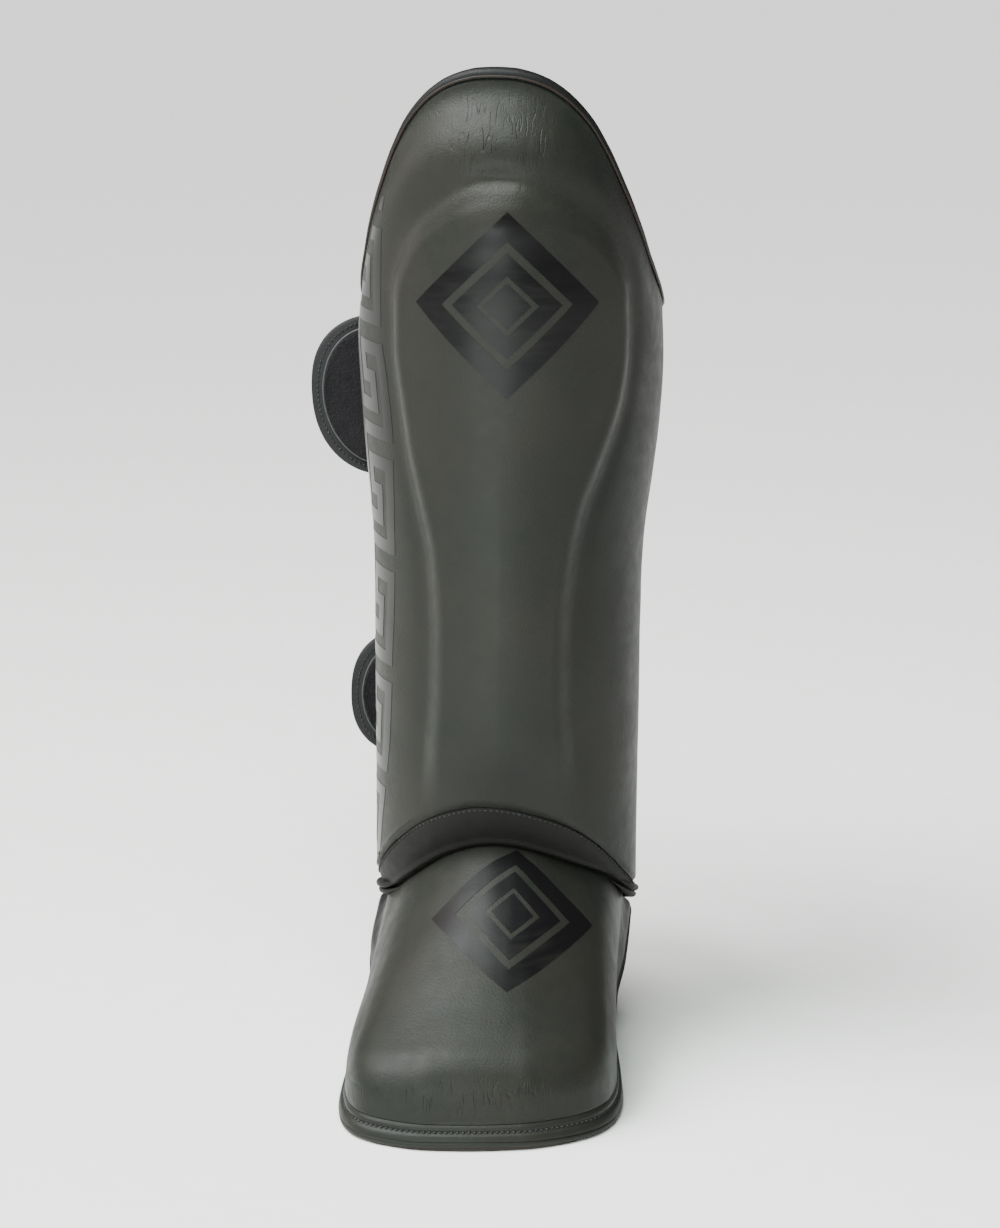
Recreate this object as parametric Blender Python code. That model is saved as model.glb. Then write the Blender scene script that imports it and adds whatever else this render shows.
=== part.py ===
"""One leather shin and instep guard, standing on its toe rim and its sole strap.

Metres, +Z up, the front faces -Y. The origin is on the floor at the middle of the flat
underside of the sole strap. The guard is one padded shell round the leg: a section of it
is placed by the turn round the leg (degrees, 0 at the front, + towards +X) and the height.
"""

import bisect
import math

import bmesh
import bpy
from mathutils import Vector

# Heights above the floor
CROWN_HEIGHT = 0.457
CORNER_HEIGHT = 0.340
SEAM_HEIGHT = 0.1255
HEEL_HEIGHT = 0.060

# The leg inside the guard
CALF_WIDTH = 0.120
CALF_DEPTH = 0.070
ANKLE_WIDTH = 0.101
ANKLE_DEPTH = 0.047
SHIN_FRONT = 0.030
CALF_LEAN = 0.009
WRAP = 114.0

# Padding and leather
FRONT_PAD = 0.022
WING_PAD = 0.009
PANEL_RISE = 0.007
CREASE_WIDTH = 4.5
CROWN_PINCH = 0.005
FRONT_PINCH = 0.010
PINCH_REACH = 0.045
PINCH_TURN = 58.0
CROWN_TURN = -2.0
BINDING_HEIGHT = 0.005
BINDING_SIDE = 0.0006
GUSSET_HEIGHT = 0.020
GUSSET_LEAN = 0.011

# The instep
TOE_REACH = 0.149
TOE_WIDTH = 0.129
TOE_SKEW = 6.0
INSTEP_SHIFT = 0.0035
INSTEP_PAD = 0.013
INSTEP_TUCK = 0.0015
RIM_WALL = 0.008
RIM_HEIGHT = 0.011
RIM_FLARE = 0.004
RIM_RISE = 0.043
RIM_ROLL = 0.002
WAIST_FLARE = 0.15
WAIST_HEIGHT = 0.45

# Straps
UPPER_STRAP_HEIGHT = 0.2945
UPPER_STRAP_WIDTH = 0.077
UPPER_TAB = 0.041
LOWER_STRAP_HEIGHT = 0.1515
LOWER_STRAP_WIDTH = 0.062
LOWER_TAB = 0.026
STRAP_THICK = 0.003
PILE_THICK = 0.002
PILE_BORDER = 0.006
UPPER_SEAT = 0.0002
LOWER_SEAT = 0.0011
STRAP_CLEAR = 0.0018
END_ROUND = 0.42
CALF_ROOM = 0.015
SOLE_STRAP_WIDTH = 0.042
SOLE_STRAP_THICK = 0.003
SOLE_FLAT = 0.084

GAP = 0.0003
FOLD_GAP = 0.0006
PILE_GAP = 0.0005

# Turns round the leg at which every shell has a column
TURNS = [-114, -107, -100, -92, -84, -76, -68, -60, -52, -45, -38, -32, -26, -20, -13, -6,
         0, 6, 13, 20, 26, 32, 38, 45, 52, 60, 68, 76, 84, 92, 100, 107, 114]
TURN_END = 114.0
ROUTE_STEPS = 240
STRAP_STEPS = 20
PILE_STEPS = 6
END_ANGLES = (20, 38, 54, 68, 80)

# Columns: share of CROWN_HEIGHT, share of the way from ankle to calf in width, in depth, in lean
LEG = [
    (0.00, 0.00, 0.00, 0.00),
    (0.16, 0.00, 0.00, 0.00),
    (0.28, 0.00, 0.03, 0.08),
    (0.40, 0.00, 0.20, 0.20),
    (0.52, 0.13, 0.52, 0.48),
    (0.65, 0.80, 0.94, 0.76),
    (0.74, 1.00, 1.00, 0.84),
    (0.85, 1.00, 1.00, 0.92),
    (1.00, 1.00, 1.00, 1.00),
]

# Columns: share of WRAP, share of the way from CORNER_HEIGHT up to CROWN_HEIGHT
TOP_EDGE = [
    (0.00, 1.000),
    (0.10, 0.994),
    (0.17, 0.968),
    (0.25, 0.900),
    (0.31, 0.806),
    (0.365, 0.698),
    (0.43, 0.550),
    (0.50, 0.395),
    (0.57, 0.255),
    (0.66, 0.140),
    (0.76, 0.060),
    (0.87, 0.015),
    (1.00, 0.000),
]

# Columns: share of WRAP, share of the way from HEEL_HEIGHT up to SEAM_HEIGHT, share of GUSSET_HEIGHT
SEAM = [
    (0.00, 1.00, 0.98),
    (0.06, 0.992, 0.99),
    (0.12, 0.965, 1.00),
    (0.19, 0.912, 1.01),
    (0.27, 0.825, 1.00),
    (0.36, 0.690, 0.92),
    (0.45, 0.532, 0.76),
    (0.54, 0.375, 0.58),
    (0.64, 0.25, 0.38),
    (0.76, 0.15, 0.22),
    (0.88, 0.06, 0.16),
    (1.00, 0.00, 0.15),
]

# Columns: share of CROWN_HEIGHT, left and right crease of the raised panel in degrees
PANEL = [
    (0.280, 1.0, 1.0),
    (0.300, 26.0, 27.0),
    (0.340, 24.5, 26.0),
    (0.390, 22.5, 24.0),
    (0.470, 21.5, 23.5),
    (0.530, 22.5, 25.0),
    (0.580, 25.5, 28.0),
    (0.630, 29.0, 34.0),
    (0.690, 32.0, 41.0),
    (0.740, 34.0, 43.0),
    (0.790, 34.0, 42.5),
    (0.830, 31.0, 38.0),
    (0.860, 25.0, 30.0),
    (0.883, 16.0, 19.0),
    (0.896, 7.0, 8.0),
    (0.900, 1.0, 1.0),
]

# Columns: turn in degrees, share of half TOE_WIDTH, share of TOE_REACH (+ is forward),
# share of RIM_RISE, share of RIM_HEIGHT, share of RIM_FLARE
RIM = [
    (0.0, 0.00, 1.000, 0.00, 1.00, 1.00),
    (15.0, 0.32, 0.992, 0.00, 1.00, 1.00),
    (28.0, 0.61, 0.955, 0.00, 1.00, 1.00),
    (40.0, 0.85, 0.885, 0.00, 1.00, 1.00),
    (50.0, 0.965, 0.785, 0.00, 0.95, 0.95),
    (58.0, 1.00, 0.670, 0.04, 0.85, 0.80),
    (66.0, 0.975, 0.540, 0.17, 0.75, 0.55),
    (75.0, 0.93, 0.380, 0.35, 0.65, 0.35),
    (85.0, 0.92, 0.200, 0.55, 0.55, 0.20),
    (95.0, 0.96, 0.020, 0.75, 0.47, 0.10),
    (105.0, 0.97, -0.140, 0.92, 0.43, 0.05),
    (114.0, 0.97, -0.255, 1.00, 0.40, 0.00),
]

# Columns: share of the reach to the rim, share of the drop to it, share of INSTEP_PAD
INSTEP = [
    (0.00, 0.00, 0.0),
    (0.10, 0.05, 0.8),
    (0.24, 0.15, 1.0),
    (0.40, 0.29, 1.0),
    (0.56, 0.43, 1.0),
    (0.70, 0.545, 1.0),
    (0.82, 0.640, 1.0),
    (0.905, 0.715, 1.0),
    (0.955, 0.790, 0.9),
    (0.985, 0.880, 0.8),
    (1.00, 1.00, 0.0),
]

# Columns: red, green and blue as sRGB shares, roughness
LEATHER = (0.22, 0.22, 0.21, 0.42)
BINDING_LEATHER = (0.16, 0.16, 0.155, 0.45)
PILE = (0.11, 0.11, 0.12, 0.95)
WEBBING = (0.08, 0.08, 0.085, 0.85)


def curve(table, column, place):
    """Reads one column of a table at a place in its first column, as a smooth curve."""
    rows = [row[0] for row in table]
    high = min(max(bisect.bisect_right(rows, place), 1), len(table) - 1)
    low = high - 1
    step = rows[high] - rows[low]
    share = min(max((place - rows[low]) / step, 0.0), 1.0)

    def slope(at):
        if at in (0, len(table) - 1):
            return 0.0
        before = (table[at][column] - table[at - 1][column]) / (rows[at] - rows[at - 1])
        after = (table[at + 1][column] - table[at][column]) / (rows[at + 1] - rows[at])
        if before * after <= 0:
            return 0.0
        return 2 * before * after / (before + after)

    start = table[low][column]
    end = table[high][column]
    rest = 1 - share
    return (
        start * (1 + 2 * share) * rest**2
        + end * share**2 * (3 - 2 * share)
        + slope(low) * step * share * rest**2
        - slope(high) * step * share**2 * rest
    )


def smooth(value):
    value = min(max(value, 0.0), 1.0)
    return value * value * (3 - 2 * value)


def leg_size(height):
    """Half width, half depth and front of the leg at a height."""
    place = height / CROWN_HEIGHT
    width = ANKLE_WIDTH + (CALF_WIDTH - ANKLE_WIDTH) * curve(LEG, 1, place)
    depth = ANKLE_DEPTH + (CALF_DEPTH - ANKLE_DEPTH) * curve(LEG, 2, place)
    front = -SHIN_FRONT + CALF_LEAN * curve(LEG, 3, place)
    return width / 2, depth, front


def leg(turn, height, out=0.0):
    """A point at a distance out from the leg, square to it in the level plane."""
    width, depth, front = leg_size(height)
    angle = math.radians(turn)
    away = Vector((depth * math.sin(angle), -width * math.cos(angle), 0)).normalized()
    on_leg = Vector((width * math.sin(angle), front + depth * (1 - math.cos(angle)), height))
    return on_leg + away * out


def spread(turn):
    """The turn of a column, which keeps its share of WRAP when WRAP changes."""
    return turn * WRAP / TURN_END


def top_height(turn):
    place = abs(turn - CROWN_TURN * (1 - abs(turn) / TURN_END)) / TURN_END
    return CORNER_HEIGHT + (CROWN_HEIGHT - CORNER_HEIGHT) * curve(TOP_EDGE, 1, place)


def seam_height(turn):
    place = abs(turn) / TURN_END
    return HEEL_HEIGHT + (SEAM_HEIGHT - HEEL_HEIGHT) * curve(SEAM, 1, place)


def gusset_height(turn):
    return GUSSET_HEIGHT * curve(SEAM, 2, abs(turn) / TURN_END)


def panel_rise(turn, height):
    """How far the raised panel and the knob at its top stand proud."""
    place = height / CROWN_HEIGHT
    if not PANEL[0][0] < place < PANEL[-1][0]:
        return 0.0
    crease = curve(PANEL, 1 if turn < 0 else 2, place)
    inside = smooth((crease - abs(turn)) / (2 * CREASE_WIDTH) + 0.5)
    crown = smooth((crease - abs(turn)) / 30.0)
    return PANEL_RISE * (0.7 * inside + 0.3 * crown)


def pad_thickness(turn, height):
    """Padding over the leg: full at the front, thin at the wings, pinched at the top edge."""
    side = min(abs(turn) / 96.0, 1.0)
    front = 1 - min(abs(turn) / PINCH_TURN, 1.0) ** 2
    full = WING_PAD + (FRONT_PAD - WING_PAD) * (1 - side**2)
    below_top = (top_height(turn) - height) / PINCH_REACH
    pinch = CROWN_PINCH * (1 - side**2) + FRONT_PINCH * front**2
    return full - pinch * (1 - smooth(below_top)) ** 2 + panel_rise(turn, height)


def edge_thickness(turn):
    """Thickness of the pad where the top binding closes it."""
    return pad_thickness(turn, top_height(turn))


def gusset_foot(turn):
    """Distance from the leg to the outer edge at the foot of the gusset."""
    full = pad_thickness(turn, seam_height(turn))
    lean = GUSSET_LEAN * gusset_height(turn) / GUSSET_HEIGHT
    return full - lean


def rim(turn):
    """The outer lower edge of the rim binding."""
    side = -1 if turn < 0 else 1
    across = side * curve(RIM, 1, abs(turn)) * TOE_WIDTH / 2
    shift = INSTEP_SHIFT * (0.5 + 0.5 * smooth((abs(turn) - 45) / 30))
    forward = -curve(RIM, 2, abs(turn)) * TOE_REACH
    skew = math.tan(math.radians(TOE_SKEW)) * smooth(curve(RIM, 2, abs(turn)) / 0.7)
    rise = curve(RIM, 3, abs(turn)) * RIM_RISE
    return Vector((across - shift, forward + skew * across, rise))


def rim_point(turn, inward, up):
    """A point inward of the rim's edge, in plan, and above it."""
    step = 1.0
    along = rim(min(turn + step, TURN_END)) - rim(max(turn - step, -TURN_END))
    inside = Vector((-along.y, along.x, 0)).normalized()
    return rim(turn) + inside * inward + Vector((0, 0, up))


def rim_height(turn):
    return RIM_HEIGHT * curve(RIM, 4, abs(turn))


def rim_flare(turn):
    return RIM_FLARE * curve(RIM, 5, abs(turn))


def instep_outside(turn, place):
    """The outer face of the instep, from the ankle at place 0 to the rim at place 1."""
    last = len(INSTEP) - 1
    table = [(at / last,) + row for at, row in enumerate(INSTEP)]
    start_height = seam_height(turn) - gusset_height(turn) - FOLD_GAP
    start = leg(spread(turn), start_height, gusset_foot(turn) - INSTEP_TUCK)
    end = rim_point(turn, rim_flare(turn), rim_height(turn) + GAP)
    reach = curve(table, 1, place)
    drop = curve(table, 2, place)
    return Vector((
        start.x + (end.x - start.x) * reach,
        start.y + (end.y - start.y) * reach,
        start.z + (end.z - start.z) * drop,
    ))


def instep_inside(turn, place):
    """The inner face, square to the outer one except at its two ends."""
    if place <= 0:
        return leg(spread(turn), seam_height(turn) - gusset_height(turn) - FOLD_GAP)
    if place >= 1:
        return rim_point(turn, rim_flare(turn) + RIM_WALL, rim_height(turn) + GAP)
    last = len(INSTEP) - 1
    table = [(at / last,) + row for at, row in enumerate(INSTEP)]
    step = 0.02
    low_turn = max(turn - 1, -TURN_END)
    high_turn = min(turn + 1, TURN_END)
    across = instep_outside(high_turn, place) - instep_outside(low_turn, place)
    down = instep_outside(turn, min(place + step, 1)) - instep_outside(turn, max(place - step, 0))
    inward = across.cross(down)
    inward.z = min(inward.z, 0.0)
    inward.normalize()
    thick = max(curve(table, 3, place) * INSTEP_PAD, RIM_WALL)
    side = smooth((abs(turn) - 40) / 50)
    thick += (RIM_WALL - thick) * side
    outer = instep_outside(turn, place)
    point = outer + inward * thick
    rim_top = instep_outside(turn, 1).z
    point.z = max(point.z, (outer.z + rim_top) / 2)
    return point


def make_material(name, finish):
    material = bpy.data.materials.new(name)
    material.use_nodes = True
    shader = material.node_tree.nodes["Principled BSDF"]
    red, green, blue = (value**2.2 for value in finish[:3])
    shader.inputs["Base Color"].default_value = (red, green, blue, 1)
    shader.inputs["Roughness"].default_value = finish[3]
    shader.inputs["Metallic"].default_value = 0
    return material


def from_axis(point):
    return math.hypot(point.x, point.y - CALF_DEPTH / 2)


def loft(name, sections, material, collection):
    """A closed body through rings of points that have the same number of points.

    Each four-sided face is split from the corner further from the leg, so that two pieces
    which meet along such faces split them the same way and keep an even gap.
    """
    count = len(sections[0])
    points = [point for section in sections for point in section]
    faces = []
    for at in range(len(sections) - 1):
        for side in range(count):
            low = at * count + side
            next_low = at * count + (side + 1) % count
            if from_axis(points[low]) >= from_axis(points[next_low]):
                faces.append((low, next_low, next_low + count))
                faces.append((low, next_low + count, low + count))
            else:
                faces.append((low, next_low, low + count))
                faces.append((next_low, next_low + count, low + count))
    faces.append(tuple(reversed(range(count))))
    faces.append(tuple(range(len(points) - count, len(points))))
    mesh = bpy.data.meshes.new(name)
    mesh.from_pydata(points, [], faces)
    edit = bmesh.new()
    edit.from_mesh(mesh)
    bmesh.ops.recalc_face_normals(edit, faces=edit.faces)
    edit.to_mesh(mesh)
    edit.free()
    body = bpy.data.objects.new(name, mesh)
    collection.objects.link(body)
    mesh.materials.append(material)
    mesh.validate()
    mesh.shade_smooth()
    mesh.set_sharp_from_angle(angle=math.radians(45))
    return body


def shares(count):
    return [at / count for at in range(count + 1)]


def add_shin_pad(collection, material):
    """The padded shell, thick over the shin, from the stitched seam up to the top edge."""
    rows = shares(32)
    sections = []
    for turn in TURNS:
        low = seam_height(turn)
        high = top_height(turn)

        def outside(share):
            height = low + (high - low) * share
            return leg(spread(turn), height, pad_thickness(turn, height))

        def inside(share):
            return leg(spread(turn), low + (high - low) * share)

        inner_rows = rows[::2]
        ring = [outside(share) for share in rows] + [inside(share) for share in reversed(inner_rows)]
        sections.append(ring)
    return loft("shin_pad", sections, material, collection)


def add_shin_binding(collection, material):
    """The leather strip that closes the top edge, from wing corner to wing corner."""
    sections = []
    for turn in TURNS:
        base = top_height(turn) + GAP
        thick = edge_thickness(turn)
        middle = thick / 2
        half = thick / 2 + BINDING_SIDE
        ring = []
        for at in range(7):
            angle = math.pi * at / 6
            out = middle + half * math.cos(angle)
            ring.append(leg(spread(turn), base, out) + Vector((0, 0, BINDING_HEIGHT * math.sin(angle))))
        sections.append(ring)
    return loft("shin_binding", sections, material, collection)


def add_ankle_gusset(collection, material):
    """The crescent that closes the end of the padding and hinges the instep on the shin."""
    sections = []
    for turn in TURNS:
        top = seam_height(turn) - GAP
        foot = seam_height(turn) - gusset_height(turn)
        full = pad_thickness(turn, seam_height(turn))
        outer_foot = gusset_foot(turn)
        belly = (full + outer_foot) / 2 + 0.1 * (full - outer_foot)
        sections.append([
            leg(spread(turn), top, full),
            leg(spread(turn), (top + foot) / 2, belly),
            leg(spread(turn), foot, outer_foot),
            leg(spread(turn), foot),
            leg(spread(turn), top),
        ])
    return loft("ankle_gusset", sections, material, collection)


def add_instep_pad(collection, material):
    """The padded dome over the foot, from under the gusset down to the rim."""
    places = shares(len(INSTEP) - 1)
    sections = []
    for turn in TURNS:
        outer = [instep_outside(turn, place) for place in places]
        inner = [instep_inside(turn, place) for place in reversed(places)]
        sections.append(outer + inner)
    return loft("instep_pad", sections, material, collection)


def add_instep_binding(collection, material):
    """The flared rim round the instep, flat underneath where the toe stands on the floor."""
    sections = []
    for turn in TURNS:
        height = rim_height(turn)
        flare = rim_flare(turn)
        sections.append([
            rim_point(turn, RIM_ROLL, 0),
            rim_point(turn, 0, RIM_ROLL),
            rim_point(turn, WAIST_FLARE * flare, WAIST_HEIGHT * height),
            rim_point(turn, flare, height),
            rim_point(turn, flare + RIM_WALL, height),
            rim_point(turn, flare + 0.7 * RIM_WALL, 0),
        ])
    return loft("instep_binding", sections, material, collection)


def strap_route(height, tab, seat):
    """Plan points of a strap: from the right wing's edge round the calf to the left tab's end."""
    _, depth, front = leg_size(height)
    corner = leg(WRAP, height, WING_PAD)
    back = front + 2 * depth + CALF_ROOM
    right = corner.y + STRAP_THICK / 2 + seat
    left = corner.y + STRAP_THICK / 2 + PILE_THICK + STRAP_CLEAR
    room = back - right
    return [
        Vector((corner.x, right, 0)),
        Vector((0.97 * corner.x, right + 0.30 * room, 0)),
        Vector((0.80 * corner.x, right + 0.68 * room, 0)),
        Vector((0.45 * corner.x, right + 0.93 * room, 0)),
        Vector((0.0, back, 0)),
        Vector((-0.45 * corner.x, right + 0.93 * room, 0)),
        Vector((-0.80 * corner.x, left + 0.55 * room, 0)),
        Vector((-1.02 * corner.x, left + 0.14 * room, 0)),
        Vector((-corner.x - 0.35 * tab, left + 0.02 * room, 0)),
        Vector((-corner.x - tab, left - 0.02 * room, 0)),
    ]


def along_route(points, share):
    """A point and its direction on a smooth curve through the route."""
    place = share * (len(points) - 1)
    at = min(int(place), len(points) - 2)
    part = place - at
    start = points[at]
    end = points[at + 1]
    leave = (end - points[max(at - 1, 0)]) / 2
    arrive = (points[min(at + 2, len(points) - 1)] - start) / 2
    rest = 1 - part
    here = (
        start * (1 + 2 * part) * rest**2
        + end * part**2 * (3 - 2 * part)
        + leave * part * rest**2
        - arrive * part**2 * rest
    )
    heading = (
        (end - start) * 6 * part * rest
        + leave * rest * (1 - 3 * part)
        + arrive * part * (3 * part - 2)
    )
    return here, heading.normalized()


def strap_stops(route, end_round):
    """Shares of the route with a section, and the share of full width left at each."""
    fine = [along_route(route, at / ROUTE_STEPS)[0] for at in range(ROUTE_STEPS + 1)]
    lengths = [0.0]
    for here, there in zip(fine, fine[1:]):
        lengths.append(lengths[-1] + (there - here).length)
    straight = lengths[-1] - end_round
    stops = [(straight * share, 1.0) for share in shares(STRAP_STEPS)]
    for angle in END_ANGLES:
        turn = math.radians(angle)
        stops.append((straight + end_round * math.sin(turn), math.cos(turn) ** 0.8))
    found = []
    for stop, full in stops:
        at = min(max(bisect.bisect_left(lengths, stop), 1), ROUTE_STEPS)
        part = (stop - lengths[at - 1]) / (lengths[at] - lengths[at - 1])
        found.append(((at - 1 + part) / ROUTE_STEPS, full))
    return found


def strap_band(height, width, tab, seat, thick, offset, first, border):
    """Rings of a flat band round the calf that follows the wings' slope and has a rounded end."""
    sections = []
    for share, full in strap_stops(strap_route(height, tab, seat), END_ROUND * width)[first:]:
        half = width / 2 * full - border
        if half < border / 2:
            break
        front_face = []
        back_face = []
        for level in (height - half, height, height + half):
            here, heading = along_route(strap_route(level, tab, seat), share)
            forward = Vector((-heading.y, heading.x, 0))
            middle = here + Vector((0, 0, level))
            front_face.append(middle + forward * (offset + thick / 2))
            back_face.append(middle + forward * (offset - thick / 2))
        sections.append(front_face + back_face[::-1])
    return sections


def add_strap(collection, name, height, width, tab, seat, leather, pile):
    """One wide strap and the loop pile sewn on the inside of its free end."""
    band = strap_band(height, width, tab, seat, STRAP_THICK, 0, 0, 0)
    loft(name + "_strap", band, leather, collection)
    offset = (STRAP_THICK + PILE_THICK) / 2 + PILE_GAP
    first = STRAP_STEPS - PILE_STEPS
    patch = strap_band(height, width, tab, seat, PILE_THICK, offset, first, PILE_BORDER)
    loft(name + "_strap_pile", patch, pile, collection)


def add_sole_strap(collection, material):
    """The plain elastic under the foot, from rim to rim, with the flat that stands on the floor."""
    half = SOLE_STRAP_WIDTH / 2
    columns = [-half, -half / 3, half / 3, half]

    def rim_at(depth, side):
        """Rim edge of one side at a distance behind the origin."""
        low, high = 60.0, TURN_END
        for _ in range(30):
            middle = (low + high) / 2
            if rim(side * middle).y < depth:
                low = middle
            else:
                high = middle
        return rim_point(side * low, rim_flare(low) + 0.35 * RIM_WALL, -GAP)

    def route(depth):
        left = rim_at(depth, -1)
        right = rim_at(depth, 1)
        flat = SOLE_FLAT / 2
        points = []
        for end, side in ((left, -1), (right, 1)):
            corner = [end]
            reach = abs(end.x) - flat
            for angle in (0, 22, 45, 68, 90):
                turn = math.radians(angle)
                x = side * (flat + reach * math.cos(turn) * 0.9)
                z = end.z * 0.72 * (1 - math.sin(turn))
                corner.append(Vector((x, depth, z)))
            points.append(corner)
        return points[0] + list(reversed(points[1]))

    paths = [route(depth) for depth in columns]
    sections = []
    for at in range(len(paths[0])):
        outer = [path[at] for path in paths]
        before = paths[0][max(at - 1, 0)]
        after = paths[0][min(at + 1, len(paths[0]) - 1)]
        heading = (after - before).normalized()
        up = Vector((-heading.z, 0, heading.x))
        inner = [point + up * SOLE_STRAP_THICK for point in outer]
        if at in (0, len(paths[0]) - 1):
            side = 1 if at == 0 else -1
            inner = [point + Vector((side * SOLE_STRAP_THICK, 0, 0)) for point in outer]
        sections.append(outer + list(reversed(inner)))
    return loft("sole_strap", sections, material, collection)


def main():
    for old in list(bpy.data.objects):
        bpy.data.objects.remove(old)
    guard = bpy.data.collections.new("shin_and_instep_guard")
    bpy.context.scene.collection.children.link(guard)
    leather = make_material("leather", LEATHER)
    binding_leather = make_material("binding_leather", BINDING_LEATHER)
    pile = make_material("pile", PILE)
    webbing = make_material("webbing", WEBBING)
    add_shin_pad(guard, leather)
    add_shin_binding(guard, binding_leather)
    add_ankle_gusset(guard, leather)
    add_instep_pad(guard, leather)
    add_instep_binding(guard, binding_leather)
    upper = (UPPER_STRAP_HEIGHT, UPPER_STRAP_WIDTH, UPPER_TAB, UPPER_SEAT)
    lower = (LOWER_STRAP_HEIGHT, LOWER_STRAP_WIDTH, LOWER_TAB, LOWER_SEAT)
    add_strap(guard, "upper", *upper, leather, pile)
    add_strap(guard, "lower", *lower, leather, pile)
    add_sole_strap(guard, webbing)


main()
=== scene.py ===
"""Looks of one leather shin and instep guard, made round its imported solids.

Metres, +Z up, the front faces -Y. A point of the shells is placed by its turn round the leg
(degrees, 0 at the front, + towards +X) and its height above the floor.
"""

import math

import bmesh
import bpy
import numpy as np
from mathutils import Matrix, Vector


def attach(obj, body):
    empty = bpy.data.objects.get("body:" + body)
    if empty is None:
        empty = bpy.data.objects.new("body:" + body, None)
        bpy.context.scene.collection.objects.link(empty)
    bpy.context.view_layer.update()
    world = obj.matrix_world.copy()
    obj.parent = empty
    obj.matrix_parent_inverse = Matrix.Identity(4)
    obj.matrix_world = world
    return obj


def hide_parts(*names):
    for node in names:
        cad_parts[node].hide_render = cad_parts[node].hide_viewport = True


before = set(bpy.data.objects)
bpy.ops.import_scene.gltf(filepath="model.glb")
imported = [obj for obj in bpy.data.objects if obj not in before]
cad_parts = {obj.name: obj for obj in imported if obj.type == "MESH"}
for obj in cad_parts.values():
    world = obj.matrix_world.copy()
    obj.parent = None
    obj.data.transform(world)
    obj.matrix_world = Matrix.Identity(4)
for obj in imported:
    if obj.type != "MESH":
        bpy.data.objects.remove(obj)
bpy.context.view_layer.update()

MM = 0.001

# The solids' own sizes
CROWN_HEIGHT = 0.457
CORNER_HEIGHT = 0.340
SEAM_HEIGHT = 0.1255
HEEL_HEIGHT = 0.060
CALF_WIDTH = 0.120
CALF_DEPTH = 0.070
ANKLE_WIDTH = 0.101
ANKLE_DEPTH = 0.047
SHIN_FRONT = 0.030
CALF_LEAN = 0.009
WRAP = 114.0
FRONT_PAD = 0.022
WING_PAD = 0.009
PANEL_RISE = 0.007
CROWN_PINCH = 0.005
FRONT_PINCH = 0.010
PINCH_REACH = 0.045
PINCH_TURN = 58.0
CROWN_TURN = -2.0
BINDING_HEIGHT = 0.005
GUSSET_HEIGHT = 0.020
GUSSET_LEAN = 0.011
TOE_REACH = 0.149
TOE_WIDTH = 0.129
TOE_SKEW = 6.0
INSTEP_SHIFT = 0.0035
INSTEP_PAD = 0.013
INSTEP_TUCK = 0.0015
RIM_WALL = 0.008
RIM_HEIGHT = 0.011
RIM_FLARE = 0.004
RIM_RISE = 0.043
RIM_ROLL = 0.002
STRAP_THICK = 0.003
PILE_THICK = 0.002
PILE_BORDER = 0.006
STRAP_CLEAR = 0.0018
END_ROUND = 0.42
CALF_ROOM = 0.015
SOLE_STRAP_WIDTH = 0.042
SOLE_STRAP_THICK = 0.003
SOLE_FLAT = 0.084
GAP = 0.0003
PILE_GAP = 0.0005

# The roll over the crown's edge, and how far the instep is tucked up into the gusset
ROLL_HEIGHT = 0.0036
ROLL_THICK = 0.0072
TUCK_RISE = 0.0012

# Turns: the wings' rounded edges, and where the instep and the rim change to the binding's leather
WING_ROUND = 3.4
INSTEP_REAR = 77.0
RIM_REAR = 64.0

# Share of the rim's height from its roll to its row of stitches
RIM_STITCH = 0.62

# Sections of a strap's straight part, and those where its pile and its stitches begin
STRAP_SECTIONS = 150
PILE_FIRST = 105
STITCH_FIRST = 60

# Heights of the knob, of the hollow over it, and of the wrinkles at the crown and on the shin
KNOB_HEIGHT = 0.3955
HOLLOW_HEIGHT = 0.4150
CROWN_WRINKLES = 0.428
SHIN_WRINKLES = 0.235

# The key band in millimetres, its top in metres, and the place of the knob's motif
BAND_WIDTH = 33.0
UNIT_HEIGHT = 44.9
UNIT_PITCH = 52.7
STROKE = 6.3
BAND_TOP = 0.3891
MOTIF_HEIGHT = 0.360
MOTIF_TURN = 3.0

# Columns: height, width, reach of the free end, distance behind the wing's edge
STRAPS = {
    "upper": (0.2945, 0.077, 0.041, 0.0002),
    "lower": (0.1515, 0.062, 0.026, 0.0011),
}

# Columns: share of CROWN_HEIGHT, share of the way from ankle to calf in width, in depth, in lean
LEG = [
    (0.00, 0.00, 0.00, 0.00),
    (0.16, 0.00, 0.00, 0.00),
    (0.28, 0.00, 0.03, 0.08),
    (0.40, 0.00, 0.20, 0.20),
    (0.52, 0.13, 0.52, 0.48),
    (0.65, 0.80, 0.94, 0.76),
    (0.74, 1.00, 1.00, 0.84),
    (0.85, 1.00, 1.00, 0.92),
    (1.00, 1.00, 1.00, 1.00),
]

# Columns: share of WRAP, share of the way from CORNER_HEIGHT up to CROWN_HEIGHT
TOP_EDGE = [
    (0.00, 1.000),
    (0.06, 0.997),
    (0.115, 0.984),
    (0.17, 0.960),
    (0.21, 0.932),
    (0.25, 0.894),
    (0.31, 0.814),
    (0.365, 0.708),
    (0.43, 0.556),
    (0.50, 0.395),
    (0.57, 0.255),
    (0.66, 0.140),
    (0.76, 0.060),
    (0.87, 0.015),
    (1.00, 0.000),
]

# Columns: share of WRAP, share of the way from HEEL_HEIGHT up to SEAM_HEIGHT, share of GUSSET_HEIGHT
SEAM = [
    (0.00, 1.00, 0.98),
    (0.06, 0.992, 0.99),
    (0.12, 0.965, 1.00),
    (0.19, 0.912, 1.01),
    (0.27, 0.825, 1.00),
    (0.36, 0.690, 0.92),
    (0.45, 0.532, 0.76),
    (0.54, 0.375, 0.58),
    (0.64, 0.25, 0.38),
    (0.76, 0.15, 0.22),
    (0.88, 0.06, 0.16),
    (1.00, 0.00, 0.15),
]

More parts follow.
